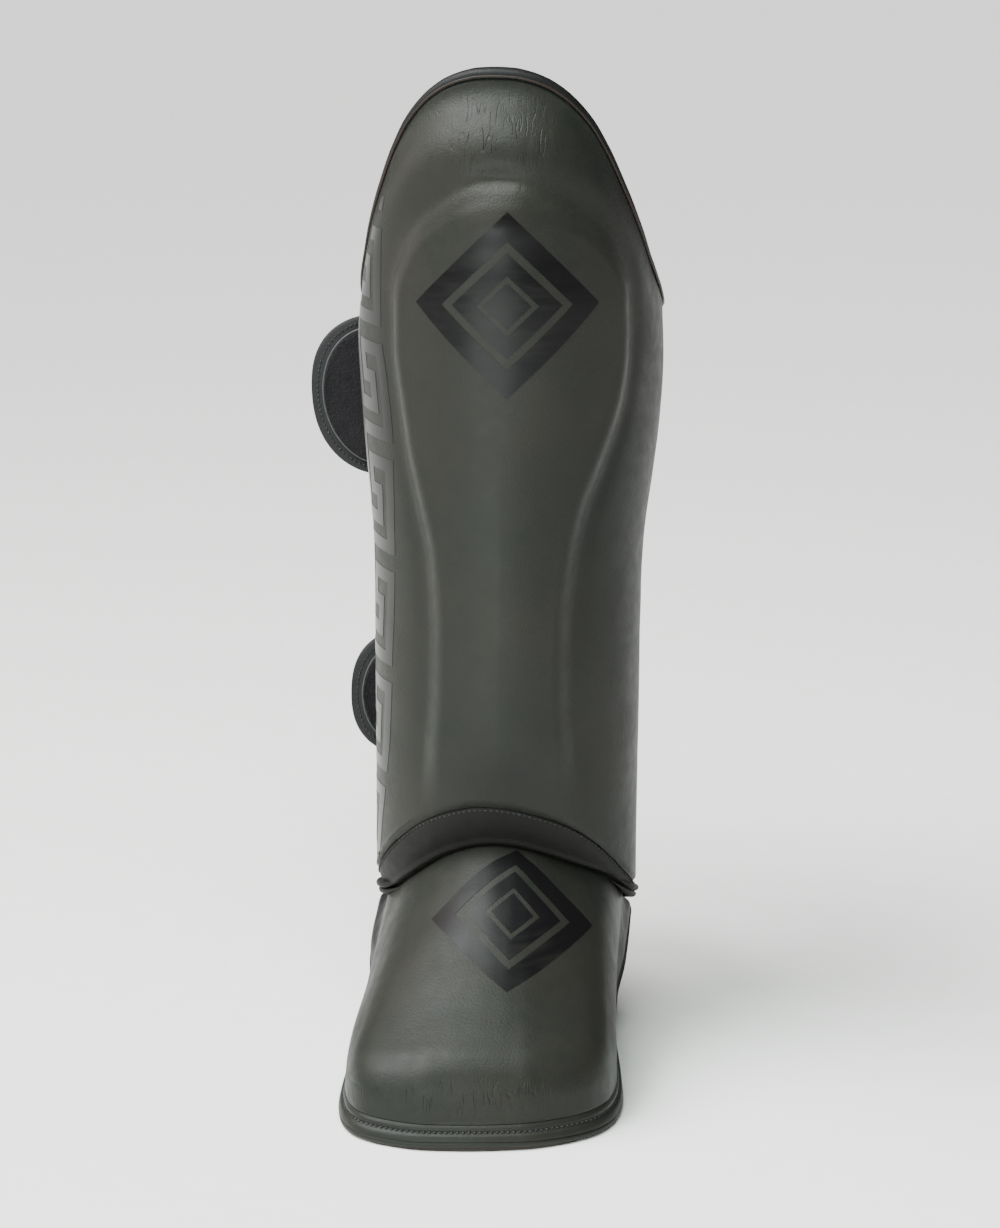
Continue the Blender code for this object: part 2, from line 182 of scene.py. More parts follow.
# Columns: share of CROWN_HEIGHT, left and right crease of the raised panel in degrees
PANEL = [
    (0.220, 28.0, 29.0),
    (0.300, 26.0, 27.0),
    (0.340, 24.5, 26.0),
    (0.390, 22.5, 24.0),
    (0.470, 21.5, 23.5),
    (0.530, 22.5, 25.0),
    (0.580, 25.5, 28.0),
    (0.630, 29.0, 34.0),
    (0.690, 32.0, 41.0),
    (0.740, 34.0, 43.0),
    (0.790, 34.0, 42.5),
    (0.830, 31.0, 38.0),
    (0.860, 25.0, 30.0),
    (0.883, 16.5, 19.5),
    (0.895, 10.0, 11.5),
    (0.901, 5.0, 6.0),
    (0.903, 0.5, 0.5),
]

# Columns: turn in degrees, share of half TOE_WIDTH, share of TOE_REACH (+ is forward),
# share of RIM_RISE, share of RIM_HEIGHT, share of RIM_FLARE
RIM = [
    (0.0, 0.00, 1.000, 0.00, 1.00, 1.00),
    (15.0, 0.32, 0.992, 0.00, 1.00, 1.00),
    (28.0, 0.61, 0.955, 0.00, 1.00, 1.00),
    (40.0, 0.85, 0.885, 0.00, 1.00, 1.00),
    (50.0, 0.965, 0.785, 0.00, 0.95, 0.95),
    (58.0, 1.00, 0.670, 0.04, 0.85, 0.80),
    (66.0, 0.975, 0.540, 0.17, 0.75, 0.55),
    (75.0, 0.93, 0.380, 0.35, 0.65, 0.35),
    (85.0, 0.92, 0.200, 0.55, 0.55, 0.20),
    (95.0, 0.96, 0.020, 0.75, 0.47, 0.10),
    (105.0, 0.97, -0.140, 0.92, 0.43, 0.05),
    (114.0, 0.97, -0.255, 1.00, 0.40, 0.00),
]

# Columns: share of the reach to the rim, share of the drop to it, share of INSTEP_PAD
INSTEP = [
    (0.00, 0.00, 0.0),
    (0.10, 0.05, 0.8),
    (0.24, 0.15, 1.0),
    (0.40, 0.29, 1.0),
    (0.56, 0.43, 1.0),
    (0.70, 0.545, 1.0),
    (0.82, 0.640, 1.0),
    (0.905, 0.715, 1.0),
    (0.955, 0.790, 0.9),
    (0.985, 0.880, 0.8),
    (1.00, 1.00, 0.0),
]

# Columns: share of CROWN_HEIGHT, strength of the panel's ridge, depth of the valley outside it
RIDGE = [
    (0.27, 0.0, 0.0),
    (0.34, 0.3, 0.3),
    (0.45, 0.7, 0.7),
    (0.60, 1.0, 1.0),
    (0.80, 0.9, 0.9),
    (0.87, 0.9, 0.5),
    (0.90, 0.7, 0.3),
    (0.96, 0.1, 0.1),
]

# Columns: height, distance of the key band's front edge from the front line in millimetres
BAND_FRONT = [
    (0.080, 68.0),
    (0.104, 64.5),
    (0.128, 59.0),
    (0.150, 55.5),
    (0.200, 52.8),
    (0.240, 52.0),
    (0.290, 52.5),
    (0.320, 56.0),
    (0.345, 60.0),
    (0.400, 58.5),
]

# Columns: share of the band's width from its front edge, share of its unit's height from the top
MEANDER = [
    (0.92, 0.67),
    (0.38, 0.67),
    (0.38, 0.375),
    (0.645, 0.375),
    (0.645, 0.075),
    (0.095, 0.075),
    (0.095, 0.9325),
    (0.92, 0.9325),
]


def smooth(value):
    value = np.clip(value, 0.0, 1.0)
    return value * value * (3 - 2 * value)


def hump(value):
    """One at 0, falling to nothing about 2 away on each side."""
    return np.exp(-value * value)


def path_between(start, end, leave, arrive, share):
    """A smooth path from a start to an end, with its slope at each."""
    rest = 1 - share
    return (
        start * (1 + 2 * share) * rest**2
        + end * share**2 * (3 - 2 * share)
        + leave * share * rest**2
        - arrive * share**2 * rest
    )


def curve(table, column, place):
    """Reads one column of a table at places in its first column, as a smooth curve."""
    rows = np.array([row[0] for row in table])
    values = np.array([row[column] for row in table])
    steps = np.diff(rows)
    rises = np.diff(values) / steps
    before = rises[:-1]
    after = rises[1:]
    same = before * after > 0
    slopes = np.zeros(len(rows))
    slopes[1:-1][same] = (2 * before * after)[same] / (before + after)[same]
    low = np.clip(np.searchsorted(rows, place, side="right") - 1, 0, len(rows) - 2)
    share = np.clip((place - rows[low]) / steps[low], 0.0, 1.0)
    leave = slopes[low] * steps[low]
    arrive = slopes[low + 1] * steps[low]
    return path_between(values[low], values[low + 1], leave, arrive, share)


def uneven(across, up, size, seed):
    """A smooth random field from -1 to 1, whose humps are about one size apart."""
    cells = 97
    values = np.random.default_rng(seed).uniform(-1, 1, (cells, cells))
    u = across / size + 5 * cells
    v = up / size + 5 * cells
    column = np.floor(u).astype(int)
    row = np.floor(v).astype(int)
    right = smooth(u - column)
    above = smooth(v - row)
    column %= cells
    row %= cells
    next_column = (column + 1) % cells
    next_row = (row + 1) % cells
    low = values[column, row] * (1 - right) + values[next_column, row] * right
    high = values[column, next_row] * (1 - right) + values[next_column, next_row] * right
    return low * (1 - above) + high * above


def creases(across, up, size, seed):
    """Narrow valleys between soft humps, from 0 down to -1."""
    bend = uneven(across, up, 2.3 * size, seed) * 0.8 * size
    field = uneven(across + bend, up - bend, size, seed + 1)
    return -hump(field / 0.2)


def stack(*parts):
    return np.stack(np.broadcast_arrays(*parts), axis=-1)


def unit(vectors):
    return vectors / np.maximum(np.linalg.norm(vectors, axis=-1, keepdims=True), 1e-12)


def arch(share):
    """A hump from nothing at 0 over one in the middle to nothing at 1."""
    return np.sin(math.pi * np.clip(share, 0, 1))


def lengths_along(points):
    """The length from the start of a line to each of its points."""
    return np.concatenate(([0.0], np.cumsum(np.linalg.norm(np.diff(points, axis=0), axis=1))))


def sheet(front, back):
    """Rings round a sheet, from its front face and its back face."""
    return np.concatenate((front, back[:, ::-1]), axis=1)


def leg_size(height):
    """Half width, half depth and front of the leg at a height."""
    place = height / CROWN_HEIGHT
    width = ANKLE_WIDTH + (CALF_WIDTH - ANKLE_WIDTH) * curve(LEG, 1, place)
    depth = ANKLE_DEPTH + (CALF_DEPTH - ANKLE_DEPTH) * curve(LEG, 2, place)
    front = -SHIN_FRONT + CALF_LEAN * curve(LEG, 3, place)
    return width / 2, depth, front


def leg(turn, height, out=0.0):
    """Points at a distance out from the leg, square to it in the level plane."""
    width, depth, front = leg_size(height)
    angle = np.radians(turn)
    side = depth * np.sin(angle)
    ahead = -width * np.cos(angle)
    size = np.hypot(side, ahead)
    x = width * np.sin(angle) + out * side / size
    y = front + depth * (1 - np.cos(angle)) + out * ahead / size
    return stack(x, y, height)


def top_height(turn):
    place = np.abs(turn - CROWN_TURN * (1 - np.abs(turn) / WRAP)) / WRAP
    return CORNER_HEIGHT + (CROWN_HEIGHT - CORNER_HEIGHT) * curve(TOP_EDGE, 1, place)


def seam_lift(turn):
    """The sewn seam runs a little higher on the left than the solids' even arc."""
    rise = 1.7 * MM * smooth((18 - turn) / 28) * smooth((turn + WRAP) / 30)
    return rise + 1.4 * MM * hump((turn + 62) / 12)


def seam_height(turn):
    even = HEEL_HEIGHT + (SEAM_HEIGHT - HEEL_HEIGHT) * curve(SEAM, 1, np.abs(turn) / WRAP)
    return even + seam_lift(turn)


def gusset_height(turn):
    even = GUSSET_HEIGHT * curve(SEAM, 2, np.abs(turn) / WRAP)
    return even + seam_lift(turn) - 6.5 * MM * hump((turn - 53) / 20)


def gusset_bottom(turn):
    return seam_height(turn) - gusset_height(turn)


def slope(height_at, turn, scale):
    """Rise of an edge for each metre along the face."""
    return (height_at(turn + 0.5) - height_at(turn - 0.5)) / scale


def edge_height(turn):
    """Where the leather ends under the crown's roll, which is equally wide on its slopes."""
    rise = slope(top_height, turn, arc_scale(CORNER_HEIGHT))
    return top_height(turn) + BINDING_HEIGHT + GAP - ROLL_HEIGHT * np.sqrt(1 + rise**2)


def below_edge(turns, distance):
    """Turn and height of points a distance inside the leather's top edge, square to it."""
    top = edge_height(turns)
    scale = arc_scale(top)
    rise = slope(edge_height, turns, scale)
    size = np.sqrt(1 + rise**2)
    return turns + distance * rise / size / scale, top - distance / size


def arc_scale(height):
    """Metres of the front's face for one degree of turn."""
    width, depth, _ = leg_size(height)
    return (width + FRONT_PAD * depth / width) * math.pi / 180


def wing_scale(turn, height):
    """Metres of the wing's face for one degree of turn."""
    step = leg(turn + 0.5, height, WING_PAD) - leg(turn - 0.5, height, WING_PAD)
    return np.linalg.norm(step, axis=-1)


def panel_outline():
    """The crease round the raised panel: distance from the front line, and height."""
    share = 1 - (1 - np.linspace(0, 1, 130)) ** 2
    heights = (PANEL[0][0] + (PANEL[-1][0] - PANEL[0][0]) * share) * CROWN_HEIGHT
    scale = arc_scale(heights)
    left = -curve(PANEL, 1, heights / CROWN_HEIGHT) * scale
    right = curve(PANEL, 2, heights / CROWN_HEIGHT) * scale
    return np.concatenate((stack(left, heights), stack(right, heights)[::-1]))


def inside_distance(x, z, outline):
    """Distance to a closed outline, + inside it and - outside."""
    nearest = np.full(x.shape, 1.0)
    inside = np.zeros(x.shape, bool)
    for (x0, z0), (x1, z1) in zip(outline, np.roll(outline, -1, axis=0)):
        dx = x1 - x0
        dz = z1 - z0
        share = np.clip(((x - x0) * dx + (z - z0) * dz) / (dx * dx + dz * dz + 1e-15), 0, 1)
        nearest = np.minimum(nearest, np.hypot(x - x0 - share * dx, z - z0 - share * dz))
        if z0 != z1:
            inside ^= ((z0 > z) != (z1 > z)) & (x < dx * (z - z0) / dz + x0)
    return np.where(inside, nearest, -nearest)


def panel_form(turn, height):
    """The raised panel: a soft step with a ridge along its edge and a valley outside it."""
    turn, height = np.broadcast_arrays(turn, height)
    inside = inside_distance(turn * arc_scale(height), height, panel_outline()) / MM
    place = height / CROWN_HEIGHT
    crown = smooth((place - 0.78) / 0.11)
    step = 0.75 * smooth((inside - 4 * crown) / 13 + 0.5) + 0.25 * smooth(inside / 45)
    step = step * (1 - 0.5 * crown)
    ridge = 0.7 * MM * curve(RIDGE, 1, place) * hump((inside - 1.5) / (5.6 - 2.0 * crown))
    right = np.where(turn > 0, 1.5, 1.0)
    valley = 0.6 * MM * right * curve(RIDGE, 2, place) * hump((inside + 8) / 5)
    knob = 3.6 * MM * hump(turn / 11) * hump((height - KNOB_HEIGHT) / (11 * MM))
    knob = knob - 2.0 * MM * hump(turn / 7) * hump((height - HOLLOW_HEIGHT) / (4.5 * MM))
    above_seam = smooth((height - seam_height(turn)) / (42 * MM)) ** 0.7
    return (PANEL_RISE * step + ridge + knob - valley) * above_seam


def pad_thickness(turn, height):
    """Padding over the leg without the panel: full at the front, thin at the wings."""
    side = np.minimum(np.abs(turn) / 96.0, 1.0)
    full = WING_PAD + (FRONT_PAD - WING_PAD) * (1 - side**2)
    front = 1 - np.minimum(np.abs(turn) / PINCH_TURN, 1.0) ** 2
    below_top = (top_height(turn) - height) / PINCH_REACH
    pinch = CROWN_PINCH * (1 - side**2) + FRONT_PINCH * front**2
    return full - pinch * (1 - smooth(below_top)) ** 2


def shin_creases(turn, height):
    """Creases pressed into the leather: over the crown, beside the panel and along the seam."""
    x = turn * arc_scale(height)
    crown = hump((turn - 4) / 24) * hump((height - CROWN_WRINKLES) / 0.021)
    fine = creases(x, height * 0.45, 3.0 * MM, 11)
    shin = hump((turn - 2) / 26) * hump((height - SHIN_WRINKLES) / 0.05)
    long = creases(x * 0.5, height, 5.2 * MM, 31)
    above_seam = (height - seam_height(turn)) / MM
    pucker = hump(above_seam / 7) * uneven(x, height * 0.3, 3.4 * MM, 41)
    fold = hump((above_seam - 3.2 - 0.06 * (turn + 50)) / 1.2) * hump((turn + 48) / 24)
    return MM * (0.12 * crown * fine + 0.05 * shin * long + 0.10 * pucker + 1.1 * fold)


def shin_face(turn, height):
    """Distance from the leg to the outer face of the shin's leather."""
    turn, height = np.broadcast_arrays(turn, height)
    x = turn * arc_scale(height)
    out = pad_thickness(turn, height) + panel_form(turn, height) + shin_creases(turn, height)
    out = out + 0.35 * MM * uneven(x, height, 38 * MM, 51) + 0.12 * MM * uneven(x, height, 14 * MM, 61)
    at_seam = np.clip((height - seam_height(turn)) / (3 * MM), 0, 1)
    out = out - 1.3 * MM * (1 - np.sqrt(1 - (1 - at_seam) ** 2))
    from_edge = (edge_height(turn) - height) / MM
    out = out - 0.7 * MM * hump((from_edge - 1.2) / 0.45)
    to_edge = (WRAP - np.abs(turn)) * wing_scale(turn, height) / MM
    hem = 0.5 * hump((to_edge - 8.5) / 1.0) - 0.25 * hump((to_edge - 5) / 2.5)
    return out - hem * MM


def wire(tree, node, links):
    """Sets inputs of a node to constants, nodes, or pairs of a node and the name of its output."""
    for name, value in links.items():
        if isinstance(value, bpy.types.Node):
            value = (value, next(at for at, output in enumerate(value.outputs) if output.enabled))
        if isinstance(value, tuple) and isinstance(value[0], bpy.types.Node):
            tree.links.new(value[0].outputs[value[1]], node.inputs[name])
        else:
            node.inputs[name].default_value = value


def add(tree, kind, links, **settings):
    """Adds a node with its settings and links."""
    node = tree.nodes.new("ShaderNode" + kind)
    for name, value in settings.items():
        setattr(node, name, value)
    wire(tree, node, links)
    return node


def colour(code):
    """An sRGB hex colour as linear red, green, blue and a full alpha."""
    parts = [int(code[at : at + 2], 16) / 255 for at in (0, 2, 4)]
    return [part / 12.92 if part <= 0.04045 else ((part + 0.055) / 1.055) ** 2.4 for part in parts] + [1.0]


# The two colour inputs of a mix node, which share their names with its other inputs
MIX_A = 6
MIX_B = 7

# Distance between the bands of a wave texture at scale 1, along an axis
STRAIGHT = math.pi / 10
SLANTED = math.pi / 5


def every(size_mm, bands=1.0):
    """Texture scale of a pattern whose grains or bands are a size in millimetres apart."""
    return 1000 * bands / size_mm


def start_material(name, roughness, **constants):
    """A material with its shader, whose plain values are set on the shader's own sockets."""
    material = bpy.data.materials.new(name)
    material.use_nodes = True
    tree = material.node_tree
    shader = tree.nodes["Principled BSDF"]
    shader.inputs["Roughness"].default_value = roughness
    for name, value in constants.items():
        shader.inputs[name.replace("_", " ").title().replace("Ior", "IOR")].default_value = value
    return material, tree, shader, (add(tree, "TexCoord", {}), "Object")


def crease_lines(tree, place):
    """Thin upright crease lines pressed into the finish, where the vertex mask allows them."""
    mask = add(tree, "Attribute", {}, attribute_name="crinkle")
    tall = add(tree, "Mapping", {"Vector": place, "Scale": (every(2.63), every(17.5), every(18.8))})
    bends = add(tree, "TexNoise", {"Vector": tall, "Scale": 1.0, "Detail": 1.0, "Distortion": 0.15})
    middle = add(tree, "Math", {0: bends, 1: 0.5}, operation="SUBTRACT")
    near = add(tree, "Math", {0: middle}, operation="ABSOLUTE")
    line = add(tree, "MapRange", {"Value": near, "From Max": 0.04, "To Min": 1.0, "To Max": 0.0})
    patches = add(tree, "TexNoise", {"Vector": place, "Scale": every(7.69), "Detail": 2.0})
    here = add(tree, "MapRange", {"Value": patches, "From Min": 0.44, "From Max": 0.58})
    broken = add(tree, "Math", {0: line, 1: here}, operation="MULTIPLY")
    depth = add(tree, "Math", {0: broken, 1: (mask, "Fac")}, operation="MULTIPLY")
    return add(tree, "Bump", {"Height": depth, "Strength": 1.0, "Distance": 0.26 * MM}, invert=True)


def leather(name, deep, light, worn, grain_mm, roughness, relief):
    """Corrected-grain cowhide with a thin polyurethane finish, rolled with a fine pebble.

    It gives a soft broad shine over a fine grain, brown where the finish is thin, and grey where
    the vertex mask marks rubbing; on ridges and crests that lighter grey is in part a painted highlight.
    """
    material, tree, shader, place = start_material(name, roughness, ior=1.46, specular_ior_level=0.2)
    patches = add(tree, "TexNoise", {"Vector": place, "Scale": every(62.5), "Detail": 3.0})
    mottle = add(tree, "TexNoise", {"Vector": place, "Scale": every(6.67), "Detail": 4.0})
    speckle = add(tree, "TexNoise", {"Vector": place, "Scale": every(2.38), "Detail": 3.0})
    wide = add(tree, "MapRange", {"Value": patches, "From Min": 0.36, "From Max": 0.66})
    fine = add(tree, "MapRange", {"Value": mottle, "From Min": 0.3, "From Max": 0.75, "To Max": 0.5})
    # The rubbing mask, which also paints a highlight along the panel's ridges and the roll's crest
    wear_and_sheen_mask = add(tree, "Attribute", {}, attribute_name="wear_and_sheen")
    specks = add(tree, "MapRange", {"Value": speckle, "From Min": 0.35, "From Max": 0.6})
    ragged = add(tree, "Math", {0: (wear_and_sheen_mask, "Fac"), 1: specks}, operation="MULTIPLY")
    base = colour(deep)
    for factor, code in ((wide, light), (fine, light), (ragged, worn)):
        base = add(tree, "Mix", {"Factor": factor, MIX_A: base, MIX_B: colour(code)}, data_type="RGBA")
    pebble = add(
        tree,
        "TexVoronoi",
        {"Vector": place, "Scale": every(grain_mm), "Smoothness": 0.35},
        feature="SMOOTH_F1",
    )
    pores = add(tree, "TexNoise", {"Vector": place, "Scale": every(grain_mm / 1.6), "Detail": 2.0})
    grain = add(tree, "Math", {0: pores, 1: (pebble, "Distance")}, operation="SUBTRACT")
    shine = {"From Min": 0.25, "From Max": 0.75, "To Min": roughness - 0.05, "To Max": roughness + 0.07}
    bump = {"Height": grain, "Strength": relief, "Distance": 0.12 * MM * grain_mm}
    wire(tree, shader, {
        "Base Color": base,
        "Roughness": add(tree, "MapRange", {"Value": mottle, **shine}),
        "Normal": add(tree, "Bump", {"Normal": crease_lines(tree, place), **bump}),
    })
    return material


def printed_ink(name, deep, worn, roughness, shine_level):
    """Polyurethane ink screened on the leather: darker than it face on, and glossier.

    It is worn to a paler tone in soft patches, and the leather's grain shows through it.
    """
    material, tree, shader, place = start_material(name, roughness, ior=1.5, specular_ior_level=shine_level)
    rubs = add(tree, "Mapping", {"Vector": place, "Scale": (every(25), every(25), every(4.17))})
    scuff = add(tree, "TexNoise", {"Vector": rubs, "Scale": 1.0, "Detail": 5.0})
    where = add(tree, "TexNoise", {"Vector": place, "Scale": every(71.4), "Detail": 2.0})
    pale = add(tree, "MapRange", {"Value": scuff, "From Min": 0.45, "From Max": 0.72})
    patch = add(tree, "MapRange", {"Value": where, "From Min": 0.50, "From Max": 0.70})
    bare = add(tree, "Math", {0: pale, 1: patch}, operation="MULTIPLY")
    pebble = add(tree, "TexVoronoi", {"Vector": place, "Scale": every(1.11)}, feature="SMOOTH_F1")
    tones = {"Factor": bare, MIX_A: colour(deep), MIX_B: colour(worn)}
    wire(tree, shader, {
        "Base Color": add(tree, "Mix", tones, data_type="RGBA"),
        "Roughness": add(tree, "MapRange", {"Value": bare, "To Min": roughness, "To Max": roughness + 0.12}),
        "Normal": add(tree, "Bump", {"Height": pebble, "Strength": 0.25, "Distance": 0.08 * MM}),
    })
    return material


def two_tone(tree, shader, factor, tones, height, strength=0.0, distance=0.0):
    """Colours a plain material between two tones by its pattern, and may give it relief."""
    mix = {"Factor": factor, MIX_A: colour(tones[0]), MIX_B: colour(tones[1])}
    wire(tree, shader, {"Base Color": add(tree, "Mix", mix, data_type="RGBA")})
    if height:
        bump = {"Height": height, "Strength": strength, "Distance": distance * MM}
        wire(tree, shader, {"Normal": add(tree, "Bump", bump)})


def bonded_thread():
    """Bonded polyester thread: twisted about once in a millimetre, a little shinier than leather."""
    material, tree, shader, place = start_material(
        "bonded_polyester_thread", 0.5, ior=1.5, specular_ior_level=0.42
    )
    wave = {"Vector": place, "Scale": every(0.9, SLANTED), "Distortion": 0.6}
    twist = (add(tree, "TexWave", wave, bands_direction="DIAGONAL"), "Fac")
    two_tone(tree, shader, twist, ("080808", "161617"), twist, 0.5, 0.1)
    return material


def tricot_lining():
    """Brushed polyester tricot over the foam: matt and dark, with a fine knitted rib."""
    material, tree, shader, place = start_material("brushed_tricot_lining", 0.85, ior=1.5, sheen_weight=0.2)
    wave = {"Vector": place, "Scale": every(1.43, STRAIGHT), "Distortion": 1.5, "Detail": 2.0}
    rib = add(tree, "TexWave", wave, bands_direction="Z")
    fuzz = add(tree, "TexNoise", {"Vector": place, "Scale": every(1.43), "Detail": 4.0})
    height = add(tree, "Math", {0: (rib, "Fac"), 1: fuzz}, operation="ADD")
    two_tone(tree, shader, fuzz, ("161617", "2C2B2D"), height, 0.5, 0.3)
    return material


def loop_pile():
    """Knitted nylon loop tape: nearly black with a purple cast, matt and fuzzy.

    The real loops are under half a millimetre. They are drawn 1.1 mm apart, so that they show.
    """
    material, tree, shader, place = start_material(
        "nylon_loop_pile", 0.9, ior=1.53, specular_ior_level=0.2, sheen_weight=0.06
    )
    loops = add(tree, "TexVoronoi", {"Vector": place, "Scale": every(1.11)})
    clumps = add(tree, "TexNoise", {"Vector": place, "Scale": every(6.25), "Detail": 5.0})
    two_tone(tree, shader, clumps, ("08070A", "181519"), loops, 0.7, 0.5)
    return material


def cut_edge():
    """Cut edge of the tape and its backing, grey and slightly frayed."""
    material, tree, shader, place = start_material("cut_tape_edge", 0.6, ior=1.5)
    fray = add(tree, "TexNoise", {"Vector": place, "Scale": every(2), "Detail": 4.0})
    two_tone(tree, shader, fray, ("1E1E20", "38383A"), None)
    return material


def woven_elastic():
    """Woven polyester elastic: black, with ribs across its length 1.2 mm apart."""
    material, tree, shader, place = start_material("woven_elastic", 0.75, ior=1.5, sheen_weight=0.1)
    wave = {"Vector": place, "Scale": every(1.21, STRAIGHT), "Distortion": 0.4, "Detail": 1.0}
    ribs = add(tree, "TexWave", wave, bands_direction="X")
    wave = {"Vector": place, "Scale": every(0.95, STRAIGHT)}
    cross = add(tree, "TexWave", wave, bands_direction="Y")
    weave = add(tree, "Math", {0: (ribs, "Fac"), 1: (cross, "Fac")}, operation="MULTIPLY")
    two_tone(tree, shader, weave, ("121213", "2E2E31"), weave, 0.8, 0.4)
    return material


def paper_floor():
    """Pale matt studio paper."""
    material, tree, shader, place = start_material("pale_studio_paper", 0.9)
    fibre = add(tree, "TexNoise", {"Vector": place, "Scale": every(16.7), "Detail": 3.0})
    two_tone(tree, shader, fibre, ("F0F0EF", "F6F6F5"), None)
    return material


def put(name, data, location=(0, 0, 0), toward=None):
    """An object of the scene, which may look in a direction."""
    thing = bpy.data.objects.new(name, data)
    bpy.context.scene.collection.objects.link(thing)
    thing.location = location
    if toward:
        thing.rotation_euler = Vector(toward).to_track_quat("-Z", "Y").to_euler()
    return thing


def make_piece(name, points, faces, materials, replaced=(), sharp=50.0):
    """A mesh piece with its faces turned outwards, which moves with the guard."""
    mesh = bpy.data.meshes.new(name)
    mesh.from_pydata(points.tolist(), [], faces)
    edit = bmesh.new()
    edit.from_mesh(mesh)
    bmesh.ops.recalc_face_normals(edit, faces=edit.faces)
    edit.to_mesh(mesh)
    edit.free()
    for material in materials:
        mesh.materials.append(material)
    mesh.shade_smooth()
    mesh.set_sharp_from_angle(angle=math.radians(sharp))
    piece = put(name, mesh)
    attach(piece, "root")
    if replaced:
        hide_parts(*replaced)
    return piece


def ring_faces(sections, ring, first=0, looped=False):
    """Faces of a body through rings of points, closed by its two end rings or looped."""
    spans = sections if looped else sections - 1
    start = np.arange(spans)[:, None] * ring
    onward = (start + ring) % (sections * ring)
    side = np.arange(ring)[None, :]
    after = (side + 1) % ring
    quads = stack(start + side, start + after, onward + after, onward + side) + first
    faces = quads.reshape(-1, 4).tolist()
    if not looped:
        faces.append(list(range(first, first + ring)))
        last = first + (sections - 1) * ring
        faces.append(list(range(last, last + ring)))
    return faces


def loft(name, rings, materials, replaced=(), sharp=50.0):
    """A piece through an array of rings."""
    faces = ring_faces(*rings.shape[:2])
    return make_piece(name, rings.reshape(-1, 3), faces, materials, replaced, sharp)


def mark(piece, name, rings, columns, values):
    """Gives the points of some columns of a piece's rings a value, and the others 0."""
    full = np.zeros(rings.shape[:2], np.float32)
    full[:, columns] = values
    attribute = piece.data.attributes.new(name, "FLOAT", "POINT")
    attribute.data.foreach_set("value", full.ravel())


def dress(piece, rings, turns, outside, rear_from=180.0, rear=0):
    """Sets the faces' materials: 0 for the outside columns, 1 past them, another far to the rear."""
    ring = rings.shape[1]
    side = np.arange(ring)
    index = np.tile((side >= outside) & (side < ring - 1), (len(turns) - 1, 1)).astype(np.int32)
    behind = np.abs(turns[:-1] + turns[1:]) / 2 > rear_from
    index[(index == 0) & behind] = rear
    index = np.append(index.ravel(), [rear, rear]).astype(np.int32)
    piece.data.polygons.foreach_set("material_index", index)


def shell_columns(count):
    """Turns from wing edge to wing edge, closer together at the front and round the edges."""
    even = np.linspace(-1, 1, count)
    inner = (WRAP - WING_ROUND) * even * (0.68 + 0.32 * even**2)
    bend = np.sin(np.linspace(0, math.pi / 2, 9)[1:])
    rounded = WRAP - WING_ROUND + WING_ROUND * bend
    return np.concatenate((-rounded[::-1], inner, rounded))


def add_shin_leather(skin, lining):
    """The padded shell round the shin, leather outside and lining inside."""
    turns = shell_columns(284)[:, None]
    outer_share = np.linspace(1, 0, 268) ** 0.9
    inner_share = np.linspace(0, 1, 30)
    low = seam_height(turns)
    high = edge_height(turns)
    outer_height = low + (high - low) * outer_share
    inner_height = low + (high - low) * inner_share
    from_edge = (WRAP - np.abs(turns)) / WING_ROUND
    full = np.sqrt(np.maximum(1 - (1 - np.clip(from_edge, 0, 1)) ** 2, 0.002))
    half = WING_PAD / 2
    near_edge = smooth(1 - from_edge)
    out = shin_face(turns, outer_height)
    out = out + (half + half * full - out) * near_edge * (full < 0.999)
    skived = np.maximum(pad_thickness(turns, high) - ROLL_THICK, 0)
    skived = skived * smooth(1 - (high - inner_height) / 0.03)
    outer = leg(turns, outer_height, out)
    inner = leg(turns, inner_height, half * (1 - full) + skived * (full > 0.999))
    rings = np.concatenate((outer, inner), axis=1)
    piece = loft("shin_leather", rings, [skin, lining], ["shin_pad"])
    outside = outer.shape[1]
    place = outer_height / CROWN_HEIGHT
    inside = inside_distance(turns * arc_scale(outer_height), outer_height, panel_outline()) / MM
    # A lighter grey along the panel's ridges: a little rubbing, and in part a painted highlight on their
    # crests
    wear_and_sheen = 0.06 * hump((inside - 1.5) / 3.5) * curve(RIDGE, 1, place)
    at_crown = hump((turns - 1) / 17) * hump((outer_height - CROWN_WRINKLES - 0.003) / 0.017)
    at_edge = 0.5 * hump((turns + 30) / 40) * hump((high - outer_height - 0.008) / 0.006)
    mark(piece, "wear_and_sheen", rings, slice(0, outside), wear_and_sheen)
    mark(piece, "crinkle", rings, slice(0, outside), np.maximum(at_crown, at_edge))
    dress(piece, rings, turns, outside)


def add_crown_binding(skin):
    """The leather rolled over the top edge, from wing corner to wing corner."""
    turns = np.linspace(-WRAP + 0.4, WRAP - 0.4, 300)
    edge = pad_thickness(turns, edge_height(turns))
    half = ROLL_THICK / 2 + 0.3 * MM
    middle = edge + 0.6 * MM - half
    points = []
    for roll in np.radians(np.linspace(-8, 188, 19)):
        across = math.copysign(abs(math.cos(roll)) ** 0.8, math.cos(roll))
        turn, height = below_edge(turns, -ROLL_HEIGHT * math.sin(roll))
        points.append(leg(np.clip(turn, -WRAP, WRAP), height, middle + half * across))
    rings = np.stack(points, axis=1)
    piece = loft("crown_binding", rings, [skin], ["shin_binding"])
    # A lighter grey on the roll's upper front shoulder: rubbing, and in part a painted highlight
    mark(piece, "wear_and_sheen", rings, slice(4, 9), 0.12)


